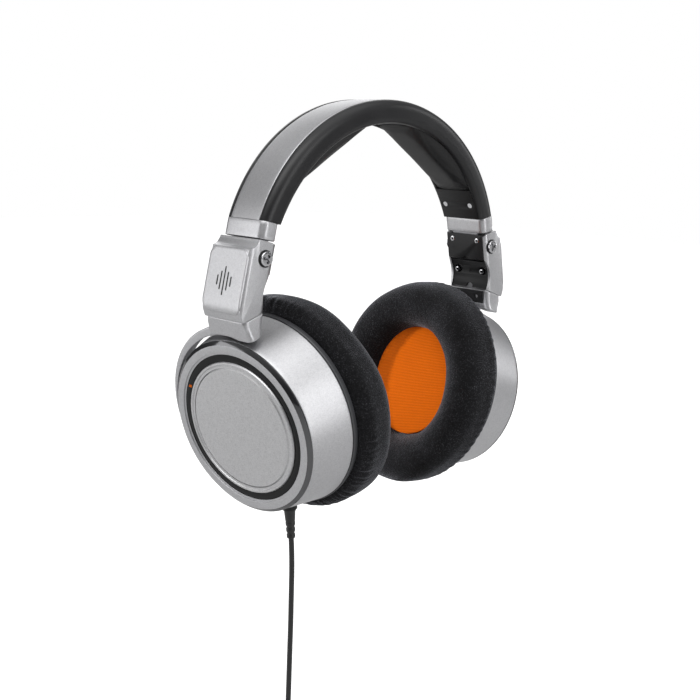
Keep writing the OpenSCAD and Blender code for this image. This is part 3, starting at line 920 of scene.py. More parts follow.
# The cable's free stretch in millimetres, as in the CAD source, from the boot down to the coil
BOOT_TIP = [-49.39, -5.5, -182.32]
CORD_ROUTE = [
    [-49.1, -5.5, -185], [-48.8, -5.5, -189], [-48.5, -5.5, -194], [-48.3, -5.5, -200],
    [-48.2, -5.5, -207], [-48.1, -5.5, -215], [-48, -5.5, -224], [-48, -5.5, -234],
    [-48, -5.5, -246], [-48, -5.5, -258], [-48, -5.5, -266], [-47.6, -5.5, -269.5],
]
COIL_AT = np.array([-40, -5.5, -296.0])
PLUG_TOP = np.array([-25, -17.7, -292.0])
JACK_AT = np.array([-51, -5.5, -167.0])
JACK_LEAN = 6.0
LAYERS = 6
TURNS = 32.07
STEPS_A_TURN = 26

# The ribbed boot and the plug with its contact rings, as (radius, height)
BOOT_OUTLINE = np.array([
    (0.0, -15.4), (1.55, -15.4), (1.95, -15.1), (2.0, -13.6), (1.72, -13.2), (1.75, -12.4), (2.08, -12.0),
    (2.12, -10.6),
    (1.84, -10.2), (1.87, -9.4), (2.2, -9.0), (2.25, -7.6), (2.1, -7.2), (2.3, -6.6), (2.62, -2.2),
    (2.95, -1.6), (2.95, -0.9), (2.7, -0.82), (0.0, -0.82),
])
PLUG_OUTLINE = np.array([
    (0, 0), (1.45, 0), (1.8, -0.3), (2.1, -3.0), (2.5, -8.0), (3.0, -11.7), (3.1, -12.0), (3.6, -12.0),
    (3.9, -12.3), (3.9, -12.9), (3.72, -13.1),
    (3.72, -13.7), (4.0, -13.9), (4.0, -26.2), (3.7, -26.9), (2.5, -27.0), (2.4, -28.3), (1.75, -28.4),
    (1.75, -34.0), (1.68, -34.1), (1.68, -34.7),
    (1.75, -34.8), (1.75, -37.8), (1.68, -37.9), (1.68, -38.5), (1.75, -38.6), (1.6, -39.4), (1.15, -39.9),
    (1.15, -40.3), (1.6, -40.8), (1.55, -41.3), (0.9, -42.1), (0, -42.3),
])


def jack_place():
    """The cable socket's frame on the right cup, in millimetres, with z up into the cup."""
    a = -math.radians(JACK_LEAN)
    z = np.array([math.sin(a), 0, math.cos(a)])
    return JACK_AT, axes_of(np.cross(UP_Y, z), UP_Y, z)


def smooth_line(points, step):
    """A curve through the points: at each a tangent along its neighbours, and cubic Hermite pieces between
    them, resampled at even steps."""
    p = np.asarray(points, float)
    along = np.concatenate([[0], np.cumsum(np.linalg.norm(np.diff(p, axis=0), axis=1))])
    slope = np.gradient(p, along, axis=0)
    at = np.linspace(0, along[-1], max(int(along[-1] / step), 2))
    i = np.clip(np.searchsorted(along, at, side="right") - 1, 0, len(p) - 2)
    gap = (along[i + 1] - along[i])[:, None]
    t = ((at - along[i])[:, None]) / gap
    ends = (2 * t**3 - 3 * t**2 + 1) * p[i] + (3 * t**2 - 2 * t**3) * p[i + 1]
    return ends + (t**3 - 2 * t**2 + t) * gap * slope[i] + (t**3 - t**2) * gap * slope[i + 1]


def coil_line(turns, middle, cable):
    """The wound cable: the angle grows evenly, and each turn keeps one place in a square bundle of layers.
    Its radius and depth ease from one place to the next near the end of a turn. Layers fill from the back to
    the front, and each layer from the middle turn outwards and back."""
    d = cable.diameter / MM
    count = int(math.ceil(turns)) + 1
    layer, seat = np.divmod(np.arange(count), LAYERS)
    seat = np.where(layer % 2 == 0, LAYERS - 1 - seat, seat)
    radius = middle + (seat - (LAYERS - 1) / 2) * d
    depth = ((LAYERS - 1) / 2 - layer) * d
    t = np.linspace(0, turns, int(turns * STEPS_A_TURN))
    i = np.minimum(t.astype(int), count - 2)
    ease = smooth(t - i, 0.55, 1.0)
    r = radius[i] + (radius[i + 1] - radius[i]) * ease
    y = depth[i] + (depth[i + 1] - depth[i]) * ease
    a = math.pi / 2 - 2 * math.pi * t
    return COIL_AT + np.column_stack([r * np.cos(a), y, r * np.sin(a)])


def bezier(a, b, c, d, n):
    """A cubic Bezier curve."""
    t = np.linspace(0, 1, n)[:, None]
    return (1 - t) ** 3 * a + 3 * (1 - t) ** 2 * t * b + 3 * (1 - t) * t**2 * c + t**3 * d


def cable_line(cable):
    """The whole centreline in millimetres: boot, free stretch, a lead into the top of the coil, the coil, and
    a tail to the plug. The radius of the turns' middle makes up the length."""
    free = smooth_line(np.array([BOOT_TIP] + CORD_ROUTE[:-1]), 2.5)
    down, across = np.array([0, 0, -1.0]), np.array([1.0, 0, 0])
    middle = cable.coil_radius / MM
    for _ in range(6):
        coil = coil_line(TURNS, middle, cable)
        lead = bezier(free[-1], free[-1] + down * 6.5, coil[0] - across * 6.5, coil[0], 14)[1:-1]
        heading = unit(coil[-1] - coil[-2])
        tail = bezier(coil[-1], coil[-1] + heading * 8 - UP_Y * 1.5, PLUG_TOP - down * 8.5, PLUG_TOP, 16)[1:]
        line = np.concatenate([free, lead, coil, tail])
        missing = cable.cable_length / MM - np.linalg.norm(np.diff(line, axis=0), axis=1).sum()
        middle += missing / (2 * math.pi * TURNS)
    return line


class HEADPHONES_OT_cable(bpy.types.Operator):
    """The boot, the cable with its coil, the tie and the plug"""

    bl_idname = "headphones.cable"
    bl_label = "Cable"

    def execute(self, context):
        cable = settings().cable
        line = cable_line(cable)
        if np.isnan(line).any():
            raise ValueError("the cable's line could not be worked out")
        curve = bpy.data.curves.new("cable", "CURVE")
        curve.dimensions, curve.bevel_depth, curve.bevel_resolution = "3D", cable.diameter / 2, 2
        curve.use_fill_caps = True
        spline = curve.splines.new("POLY")
        spline.points.add(len(line) - 1)
        spline.points.foreach_set("co", np.column_stack([line * MM, np.ones(len(line))]).ravel())
        spline.use_smooth = True
        cord = new_object("cable", curve)
        finished(cord, "right_cup", "cable_rubber", "cable_cord", "cable_coil")

        boot = surface("cable_boot_sleeve", [(turned(BOOT_OUTLINE, 64), True, False)], jack_place())
        finished(boot, "right_cup", "cable_rubber", "cable_boot")

        outer = box_outline(-9.4, 9.4, -9.4, 9.4, 5.5, 9)
        inner = box_outline(-8.4, 8.4, -8.4, 8.4, 4.6, 9)
        strap = stacked([(outer, -3.6), (outer * 1.01, -3.9), (outer * 1.01, 3.9), (outer, 3.6), (inner, 3.6), (inner, -3.6)])
        tie_place = (COIL_AT + [0, 0, cable.coil_radius / MM], axes_of([0, 1.0, 0], [0, 0, 1.0], [1.0, 0, 0]))
        tie = surface("cable_tie_strap", [(strap, True, True)], tie_place)
        finished(tie, "right_cup", "tie_fabric", "cable_tie")

        plug = surface("cable_plug", [(turned(PLUG_OUTLINE, 64), True, False)], (PLUG_TOP, np.eye(3)), sharp=25)
        finished(plug, "right_cup", "plug_metal", "jack_plug")
        return {"FINISHED"}


# ---------- headband ----------

# Heights of the collars' ends in the hinge's frame, and how deep the trim's groove is
COLLAR_TOP = 15.4
COLLAR_LOW = 7.75
TRIM_RECESS = 0.75


def band_arc(points, band):
    """Section points (across, rise) set round the arch. Each point keeps its own radius, arch radius plus
    rise, and runs from -1 to 1 in t, where |t| = 1 is the plane of that collar's top: r cos(angle + lean) =
    its distance from the centre."""
    across, rise, t = (points[..., i] for i in range(3))
    r = band.arch_radius / MM + rise
    origin, axes = HINGE
    up = axes[:, 2]
    lean = math.asin(-up[0])
    height = COLLAR_TOP + np.dot(origin, up) + band.arch_drop / MM * up[2]
    end = np.arccos(height / r) - lean
    a = t * end
    return np.stack([r * np.sin(a), across, r * np.cos(a) - band.arch_drop / MM], -1)


def band_half(t, band):
    """Half width of the band: widest at the crown, easing down to the collars."""
    return band.crown_half / MM + (band.collar_half - band.crown_half) / MM * np.abs(t) ** 2.2


def swept_band(outline, steps, band, stretch=True):
    """A section carried round the arch. What lies outside the trim is squeezed so that the band's edge
    follows its half width."""
    t = np.linspace(-1, 1, steps)[:, None]
    across = np.broadcast_to(outline[:, 0], (steps, len(outline)))
    if stretch:
        trim, crown = band.trim_half / MM, band.crown_half / MM
        past = np.maximum(np.abs(across) - trim, 0) * (band_half(t, band) - trim) / (crown - trim)
        across = np.sign(across) * (np.minimum(np.abs(across), trim) + past)
    rise = np.broadcast_to(outline[:, 1], across.shape)
    return band_arc(np.stack([across, rise, np.broadcast_to(t, across.shape)], -1), band)


class HEADPHONES_OT_band(bpy.types.Operator):
    """The band's cover with its rolled edges, and the metal trim let into it"""

    bl_idname = "headphones.band"
    bl_label = "Headband"

    def execute(self, context):
        band = settings().band
        half, trim, thick = band.crown_half / MM, band.trim_half / MM, band.thickness / MM
        corners = [
            (
                trim + 0.12, -TRIM_RECESS
            ), (trim + 0.12, 0.15), (half - 0.1, 0.35), (half, -thick), (11.3, -thick), (11.1, 0.8 - thick),
            (-11.1, 0.8 - thick), (-11.3, -thick), (-half, -thick), (0.1 - half, 0.35), (-trim - 0.12, 0.15), (
                -trim - 0.12, -TRIM_RECESS
            ),
        ]
        radii = [0.05, 0.8, 4.6, 3.0, 0.75, 0.1, 0.1, 0.75, 3.0, 4.6, 0.8, 0.05]
        skin = swept_band(refined(softened(corners, radii, 10), 1.1), 220, band)
        cover = surface("band_cover_rolled", [(ended(skin), False, True)], sharp=50)
        finished(cover, "headband", "band_cover", "headband_cover")
        strip = softened(
            [(-trim, -0.65), (trim, -0.65), (trim, 0.02), (-trim, 0.02)], [0.1, 0.1, 0.22, 0.22], 4
        )
        strip = refined(strip, 1.5)
        strip[:, 1] += np.where(strip[:, 1] > -0.3, 0.22 * (1 - (strip[:, 0] / trim) ** 2), 0)
        metal = swept_band(strip, 220, band, stretch=False)
        finished(
            surface("band_trim", [(ended(metal), False, True)], sharp=30), "headband", "satin_metal",
            "headband_trim"
        )
        for side, k in SIDES.items():
            ring = box_outline(-5.2, 4.2, -12.8, 12.8, 3.2, 10)
            hole = box_outline(-4.35, -2.85, -8.15, 8.15, 0.2, 10)
            centre = ring.mean(0)
            reach = np.abs(ring - centre).max(0)
            inner, outer = (centre + (ring - centre) * (1 - inset / reach) for inset in (0.35, 0.1))
            sleeve = stacked([
                (hole, COLLAR_LOW), (inner, COLLAR_LOW), (outer, COLLAR_LOW + 0.1), (ring, COLLAR_LOW + 0.35),
                (ring, 9.6), (ring, 11.6), (ring, 13.6),
                (ring, COLLAR_TOP - 0.35), (outer, COLLAR_TOP - 0.1), (inner, COLLAR_TOP), (hole, COLLAR_TOP),
            ])
            collar = surface(side + "_collar_sleeve", [(sleeve, True, True)], HINGE, k, sharp=50)
            finished(collar, "headband", "satin_metal", side + "_collar")
            plate = edged_copy(side + "_end_plate", side + "_end_plate_edged", 0.3, ROW, 1)
            finished(plate, "headband", "black_plastic", side + "_end_plate")
        return {"FINISHED"}


# ---------- cups ----------


# Sections of the cup's turned pieces, as (radius, depth) with the radius of each corner. The depth runs
# inward from the disc
SHELL = [
    (40.45, 1.85), (45.15, 22.4), (45.0, 22.8), (43.5, 22.8), (38.9, 3.3), (34.6, 3.3), (34.6, 2.5), (39.0, 1.9)
]
SHELL_RADII = [0.3, 0.15, 0.15, 0.3, 0.5, 0.1, 0.1, 0.2]
RIM = [
    (34.4, 2.4), (34.4, 0.62), (35.3, 0.62), (35.35, 0.02), (38.65, -0.05), (40.45, 1.35), (40.45, 1.8),
    (39, 1.82), (34.6, 2.4),
]
RIM_RADII = [0.05, 0.12, 0.05, 0.16, 0.12, 0.1, 0.05, 0.05, 0.05]
INLAY = [(31.15, 0.85), (34.3, 0.85), (34.3, 3.2), (31.15, 3.2)]
INLAY_RADII = [0.15, 0.15, 0.1, 0.1]
DISC_LIP = [
    (28.0, 0.0), (28.35, 0.42), (29.5, 0.42), (29.75, -0.05), (30.6, -0.05), (31.0, 0.6), (31.05, 3.2),
    (29.4, 3.2), (29.4, 1.5),
]
DISC_LIP_RADII = [0.1, 0.15, 0.15, 0.12, 0.22, 0.15, 0.1, 0.1, 0.1]
GASKET = [(43.4, 22.85), (45.5, 22.85), (45.75, 23.4), (45.5, 25.5), (43.4, 25.5)]
GASKET_RADII = [0.1, 0.25, 0.5, 0.25, 0.1]
BEVEL_FROM = 38.7
ACCENT_ANGLE = math.radians(152.9)


def ring_piece(name, corners, radii, arc, spacing, steps, side, sharp):
    """A closed outline with rounded corners, turned about the cup's axis."""
    outline = refined(softened(corners, radii, arc), spacing)
    return surface(name, [(turned(outline, steps), True, True)], CUP, side, sharp)


def accent_bar():
    """A small slanted bar on the black ring, as a closed grid: a rounded rectangle of (radius, arc length)
    laid round the ring."""
    bar = box_outline(31.9, 33.6, -0.65, 0.65, 0.3, 5)
    radius, along = bar[:, 0], bar[:, 1]
    a = ACCENT_ANGLE + (along + 0.4 * (radius - 32.75)) / radius
    low = np.column_stack([radius * np.cos(a), radius * np.sin(a), 0 * a + 0.95])
    return ended(np.stack([low, low - [0, 0, 0.15]]))


class HEADPHONES_OT_cups(bpy.types.Operator):
    """The metal and plastic of both cups: shell, rim, black ring, disc, pad ring and baffle"""

    bl_idname = "headphones.cups"
    bl_label = "Cups"

    def execute(self, context):
        for side, k in SIDES.items():
            body = side + "_cup"
            shell = ring_piece(side + "_shell", SHELL, SHELL_RADII, 4, 1.6, 288, k, 32)
            carved(shell, [block_cutter((-9.4, 9.4), (30, 60), (6.4, 11.6), CUP, k)])
            if side == "right":
                carved(shell, [rod_cutter(3.65, -10, 12, "z", (0, 0, 0), jack_place(), 1)])
            tidy_mesh(shell.data, merge=1e-7, sharp=math.radians(32), turn=False)
            keep_place(shell.data, CUP, k)
            finished(shell, body, "satin_metal", side + "_cup_shell")
            rim = ring_piece(side + "_rim", RIM, RIM_RADII, 5, 1.2, 288, k, 22)
            finished(rim, body, "polished_rim", side + "_rim_ring")
            rim.data.materials.append(finish("satin_metal"))
            centres = np.empty(len(rim.data.polygons) * 3)
            rim.data.polygons.foreach_get("center", centres)
            own = from_row(centres.reshape(-1, 3), CUP, k)
            flat = (np.hypot(own[:, 0], own[:, 1]) < BEVEL_FROM) & (own[:, 2] < 0.9)
            rim.data.polygons.foreach_set("material_index", flat.astype(np.int32))
            inlay = ring_piece(side + "_black_inlay", INLAY, INLAY_RADII, 5, 1.5, 224, k, 38)
            finished(inlay, body, "gloss_black", side + "_black_ring")
            accent = surface(side + "_ring_accent", [(accent_bar(), False, True)], CUP, k)
            finished(accent, body, "orange_cloth")
            face = [(0, 0.02), (12, 0.02), (22, 0.0), (27.6, 0.0)]
            section = np.concatenate([face, softened(DISC_LIP, DISC_LIP_RADII, 5), [(20, 1.5), (0, 1.5)]])
            disc = surface(side + "_disc", [(turned(section, 224), True, False)], CUP, k, sharp=25)
            finished(disc, body, "satin_disc", side + "_centre_disc")
            gasket = ring_piece(side + "_gasket", GASKET, GASKET_RADII, 5, 1.5, 224, k, 38)
            finished(gasket, body, "pad_ring_plastic", side + "_pad_ring")
            dressed(side + "_baffle", "black_plastic")
            dressed(side + "_driver_dome", "driver_film")
            dressed(side + "_driver_magnet", "magnet_iron")
        dressed("jack_socket", "black_plastic")
        return {"FINISHED"}


# ---------- ear pads ----------

# The pad's back plane, how far its soft front hangs down, and the size and depth of the cloth over the driver
PAD_BACK = 25.6
PAD_DROP = 2.1
CLOTH_RADIUS = 27.55
CLOTH_DEPTH = 36.75


def soft_relaxed(obj, scale, pressure, frames, cap, pinned):
    """Swells a closed mesh with cloth simulation at a larger scale, with gravity off. No point moves further
    than the cap, in millimetres, and pinned points stay."""
    mesh = obj.data
    rest = points_of(mesh)
    middle = rest.mean(0)
    mesh.vertices.foreach_set("co", ((rest - middle) * scale).ravel())
    mesh.update()
    m = obj.modifiers.new("Cloth", "CLOTH")
    m.settings.quality = 5
    m.settings.mass = 0.3
    m.settings.use_pressure = True
    m.settings.uniform_pressure_force = pressure
    m.settings.effector_weights.gravity = 0
    m.settings.tension_stiffness = m.settings.compression_stiffness = 15
    m.settings.bending_stiffness = 0.5
    m.collision_settings.use_collision = False
    held = obj.vertex_groups.new(name="held")
    held.add(np.flatnonzero(pinned).tolist(), 1.0, "REPLACE")
    m.settings.vertex_group_mass = "held"
    m.point_cache.frame_start, m.point_cache.frame_end = 1, frames
    scene = bpy.context.scene
    for f in range(1, frames + 1):
        scene.frame_set(f)
    applied(obj)
    step = points_of(obj.data) / scale + middle - rest
    far = np.linalg.norm(step, axis=1, keepdims=True)
    if not np.isfinite(far).all():
        raise ValueError(obj.name + ": the cloth did not settle")
    step *= np.minimum(1, cap * MM / np.maximum(far, 1e-9))
    obj.data.vertices.foreach_set("co", (rest + step).ravel())
    obj.data.update()
    scene.frame_set(1)


def gathers(a, count, seed):
    """How deep the cloth is gathered round the pad's back, from -1 to 1: sines near the count of puckers with
    seeded phases, so that the puckers come and go unevenly."""
    rng = np.random.default_rng(seed)
    total = np.zeros_like(a)
    for n in (count * 0.62, count * 0.81, count, count * 1.23, count * 1.37):
        total += rng.uniform(0.6, 1.0) * np.sin(int(n) * a + rng.uniform(0, 2 * math.pi))
    return np.tanh(total / 1.6)


def pad_outline(cup):
    """The ear pad's section, as (radius, depth): a full soft roll, flatter where it meets the baffle and
    fuller on its outer front."""
    out, hole, front = cup.pad_radius / MM, cup.ear_radius / MM, cup.pad_front / MM
    corners = [(hole + 0.6, 25.9), (44.4, 25.6), (out, 27.4), (out - 0.2, front), (hole - 0.2, front - 0.4)]
    return refined(softened(corners, [2.0, 0.4, 5.5, 9.7, 13.8], 16), 1.0)


def gathered_pad(own, puckers, side):
    """The pad's points with its gathers: the skin goes in and out at the back by the puckers, which fade
    towards the front and inside, and by a slow slackness on the roll. The whole front hangs down a little."""
    a, r = np.arctan2(own[:, 1], own[:, 0]), np.hypot(own[:, 0], own[:, 1])
    back = np.clip((own[:, 2] - PAD_BACK) / 11.0, 0, 1)
    fade = (1 - smooth(back, 0.05, 1.0)) * smooth(r, 43.6, 45.5)
    lean = a + 0.004 * (own[:, 2] - PAD_BACK) * side
    deep = gathers(lean, puckers, 11 if side > 0 else 23) * 0.6 * fade
    slack = gathers(a, 7, 5 if side > 0 else 9) * 0.28 * smooth(own[:, 2], 27, 36)
    own += np.column_stack([np.cos(a), np.sin(a), 0 * a]) * (deep + slack * smooth(r, 34, 46))[:, None]
    own[:, 2] += slack * 0.5
    own[:, 1] -= PAD_DROP * smooth(own[:, 2], 26.0, 44.0)
    return own


def cloth_grid():
    """The cloth over the driver, as a closed grid: a low dome of height 0.5 (1 - (r / R)^2) with three slow
    waves that grow to its edge, tucked down at the edge, over a flat underside."""
    r = np.concatenate([np.linspace(0, 26.2, 40), [27.0, 27.5, CLOTH_RADIUS]])
    a = np.linspace(0, 2 * math.pi, 120, endpoint=False)[:, None]
    share = (r / 27.6) ** 2
    tuck = np.where(r > 27.52, 0.85, 0) + np.where((r > 27.4) & (r < 27.52), 0.12, 0)
    rise = CLOTH_DEPTH + 0.5 * (1 - share) + 0.1 * np.sin(3 * a + 1.0) * share - tuck
    top = np.stack([r * np.cos(a), r * np.sin(a) - 1.0, rise], -1)
    under = top[:, ::-1] * [1, 1, 0] + [0, 0, CLOTH_DEPTH - 0.8]
    return np.concatenate([top, under], 1)


class HEADPHONES_OT_pads(bpy.types.Operator):
    """The velour ear pads with their gathers, and the orange cloth inside them"""

    bl_idname = "headphones.pads"
    bl_label = "Ear pads"

    def execute(self, context):
        cup = settings().cup
        for side, k in SIDES.items():
            pad = surface(side + "_pad", [(turned(pad_outline(cup), 300), True, True)], CUP, k, sharp=180)
            own = from_row(points_of(pad.data), CUP, k)
            soft_relaxed(pad, 10.0, 4.0, 14, 0.8, own[:, 2] < 26.6)
            own = gathered_pad(from_row(points_of(pad.data), CUP, k), cup.puckers, k)
            pad.data.vertices.foreach_set("co", to_row(own, CUP, k).ravel())
            pad.data.update()
            made_finer(pad)
            tidy_mesh(pad.data, merge=1e-8, sharp=math.pi, turn=False)
            keep_place(pad.data, CUP, k)
            finished(pad, side + "_cup", "velour", side + "_ear_pad")

            cloth = surface(side + "_driver_cloth", [(cloth_grid(), True, False)], CUP, k, sharp=60)
            finished(cloth, side + "_cup", "orange_cloth", side + "_baffle_cloth")
        return {"FINISHED"}


# ---------- crown cushions ----------

CUSHION_ANGLE = math.radians(32.5)


def cushion_grid(band):
    """A closed leaf-shaped pillow under the band. It lies between the band's inner arc and a straight chord
    below it, so that it runs out thin at both ends. Its underside is crowned across by a power of the sine,
    and its half width narrows towards both ends."""
    inner = band.arch_radius / MM - band.thickness / MM + 0.75
    chord = inner - band.cushion_thickness / MM
    reach = math.acos(chord / (inner - 0.35))
    t = np.linspace(-1, 1, 88)[:, None]
    turn = reach * t
    flat = chord / np.cos(turn)
    thick = np.maximum(inner - 0.02 - flat, 0.0) * (1 - np.abs(t) ** 16) + 0.25
    half = 11.9 * (1 - 0.16 * np.abs(t) ** 2.5) * (1 - 0.5 * smooth(np.abs(t), 0.94, 1.0))
    u = np.linspace(0, 2 * math.pi, 60, endpoint=False)[None, :]
    across = half * np.sign(np.cos(u)) * np.abs(np.cos(u)) ** 0.5
    depth = np.where(np.sin(u) > 0, np.abs(np.sin(u)) ** 0.8, 0)
    r = inner - 0.02 - depth * thick
    angle = CUSHION_ANGLE + turn
    return np.stack([np.sin(angle) * r, across + 0 * r, np.cos(angle) * r - band.arch_drop / MM], -1)


class HEADPHONES_OT_cushions(bpy.types.Operator):
    """The two cushions under the crown"""

    bl_idname = "headphones.cushions"
    bl_label = "Crown cushions"

    def execute(self, context):
        band = settings().band
        for side, k in SIDES.items():
            cushion = surface(side + "_cushion", [(ended(cushion_grid(band)), False, True)], ROW, k, sharp=180)
            own = from_row(points_of(cushion.data), ROW, k)
            r = np.hypot(own[:, 0], own[:, 2] + band.arch_drop / MM)
            soft_relaxed(cushion, 12.0, 2.5, 12, 0.5, r > r.max() - 0.5)
            made_finer(cushion)
            tidy_mesh(cushion.data, merge=1e-8, sharp=math.pi, turn=False)
            finished(cushion, "headband", "cushion_leather", side + "_crown_cushion")
        return {"FINISHED"}


# ---------- hinges ----------

# Half the block's width, and the shallow hollow along its inner edge: a large circle in the (x, z) plane
BLOCK_HALF = 13
SCALLOP_R = 14.3
SCALLOP_AT = (-16.7, 0, -14.0)

# The raised field on the block's front: its thickness, and its half height and half width
PLATE_THICK = 0.5
PLATE_REACH = np.array([13.95, 12.45])


def block_front(z):
    """How far out the hinge block's plain front face stands at a height: upright, then leaning in towards the
    seam."""
    return np.interp(z, [-28.2, -24.0, -20.5, 3], [5.45, 8.05, 8.65, 8.65])


def raised_plate():
    """The raised field on the block's front, as a grid: a rounded rectangle in height and width, drawn in
    step by step to a pole, standing proud of the front face by its thickness and rounded at its edge."""
    outline = refined(box_outline(-25.6, 2.3, -12.45, 12.45, 4.0, 10), 1.2)
    centre = outline.mean(0)
    away = outline - centre
    levels = [(0, -2.2), (0, PLATE_THICK - 0.3), (0.1, PLATE_THICK - 0.1)]
    levels += [(inset, PLATE_THICK) for inset in (0.3, 1.2, 3, 5.5, 8.5, 12.45)]
    rows = []
    for inset, level in levels:
        flat = centre + away * np.clip(1 - inset / PLATE_REACH, 0, 1)
        rows.append(np.stack([block_front(flat[:, 0]) + level, flat[:, 1], flat[:, 0]], -1))
    return np.stack([rows[0].mean(0) + 0 * rows[0]] + rows)


def inner_cover(side, k):
    """The cover that closes the block's inner side: a curved plate 1.2 mm thick that follows the hollow edge
    0.35 mm deeper, with two deep screw holes and a half-round notch over the swivel pin."""
    z = np.linspace(-21.7, -7.7, 24)
    hollow = np.maximum(SCALLOP_AT[0] + np.sqrt(SCALLOP_R**2 - (z - SCALLOP_AT[2]) ** 2), -5.2) + 0.35
    outline = np.concatenate([np.column_stack([hollow, z]), np.column_stack([hollow + 1.2, z])[::-1]])
    outline = np.concatenate([outline[:24], [(-3.3, -7.9)], outline[24:]])
    rows = np.stack(
        [np.column_stack([outline[:, 0], np.full(len(outline), y), outline[:, 1]]) for y in (-11.5, 11.5)]
    )
    plate = surface(side + "_inner_cover", [(ended(rows), False, True)], HINGE, k)
    cutters = [rod_cutter(2.15, -9, 5, "x", (0, y, -13), HINGE, k) for y in (-8, 8)]
    cutters.append(rod_cutter(2.2, -9, 5, "x", (0, 0, -21.9), HINGE, k))
    carved(plate, cutters)
    rounded_edges(plate, 0.18, 2, 40)
    tidy_mesh(plate.data, merge=1e-7)
    keep_place(plate.data, HINGE, k)
    return plate


def screw_heads(name, centres, r, low, side):
    """Small screws whose heads face inward: each a dished profile turned about its own axis, with a socket in
    the middle."""
    outline = np.array([(0, -0.55), (0.36, -0.55), (0.5, 0.0), (0.86, -0.03), (1.0, -0.16), (1.0, -1.0), (0, -1.0)])
    a = np.linspace(0, 2 * math.pi, 32, endpoint=False)[:, None]
    grids = []
    for x, y, z in centres:
        across, depth = outline[:, 0] * r, outline[:, 1] * low
        six = 1 - 0.10 * (outline[:, 0] < 0.45) * (1 + np.cos(6 * a)) / 2
        grids.append(
            (
                np.stack([x + depth + 0 * a, y + across * six * np.cos(a), z + across * six * np.sin(a)], -1),
                True, False
            )
        )
    return surface(name, grids, HINGE, side, sharp=35)


def pivot_screw(name, end, side):
    """A pivot screw, its profile turned about the hinge's axis, with a three-lobed recess cut into the
    head."""
    corners = [(0.01, 6.0), (1.8, 6.0), (1.8, 13.34), (3.1, 13.34), (3.1, 14.42), (0.01, 14.42)]
    profile = refined(softened(corners, [0.005, 0.3, 0.05, 0.1, 0.28, 0.005], 5), 0.8)
    place = (
        HINGE[0], axes_of(HINGE[1] @ [0, 0, 1.0], HINGE[1] @ [end * 1.0, 0, 0], HINGE[1] @ [0, end * 1.0, 0])
    )
    screw = surface(name, [(turned(profile, 72), True, True)], place, side)
    lobes = [
        (r, out * math.cos(a), out * math.sin(a)) for r,
        out in ((0.78, 1.42), (0.5, 0.6)) for a in np.radians([30, 150, 270])
    ]
    carved(screw, [rod_cutter(r, 13.0, 16, "z", (x, y, 0), place, side) for r, x, y in lobes])
    rounded_edges(screw, 0.07, 2, 50)
    tidy_mesh(screw.data, merge=1e-7, sharp=math.radians(30))
    keep_place(screw.data, place, side)
    return screw


def level_mark():
    """A plain mark: the grids of five upright bars, tallest in the middle, let into the plate."""
    grids = []
    for y, half in ((-4.4, 2.2), (-2.2, 4.0), (0, 6.2), (2.2, 4.0), (4.4, 2.2)):
        bar = box_outline(-12 - half, -12 + half, y - 0.42, y + 0.42, 0.41, 6)
        low = np.stack([block_front(bar[:, 0]) + 0.42, bar[:, 1], bar[:, 0]], -1)
        grids.append((ended(np.stack([low, low + [0.11, 0, 0]])), False, True))
    return grids


def side_letter(side, k):
    """The letter of its side, raised on the cover under the hinge."""
    words = bpy.data.curves.new(side + "_letter", "FONT")
    words.body, words.size, words.extrude = side[0].upper(), 4.2, 0.12
    words.align_x = words.align_y = "CENTER"
    letter = new_object(side + "_letter", words)
    mesh = shown_mesh(letter)
    bpy.data.objects.remove(letter)
    flat = points_of(mesh)
    own = np.column_stack([-2.15 - flat[:, 2], -k * flat[:, 0], flat[:, 1] - 13.2])
    mesh.vertices.foreach_set("co", to_row(own, HINGE, k).ravel())
    tidy_mesh(mesh, merge=1e-6)
    keep_place(mesh, HINGE, k)
    return new_object(side + "_letter", mesh)


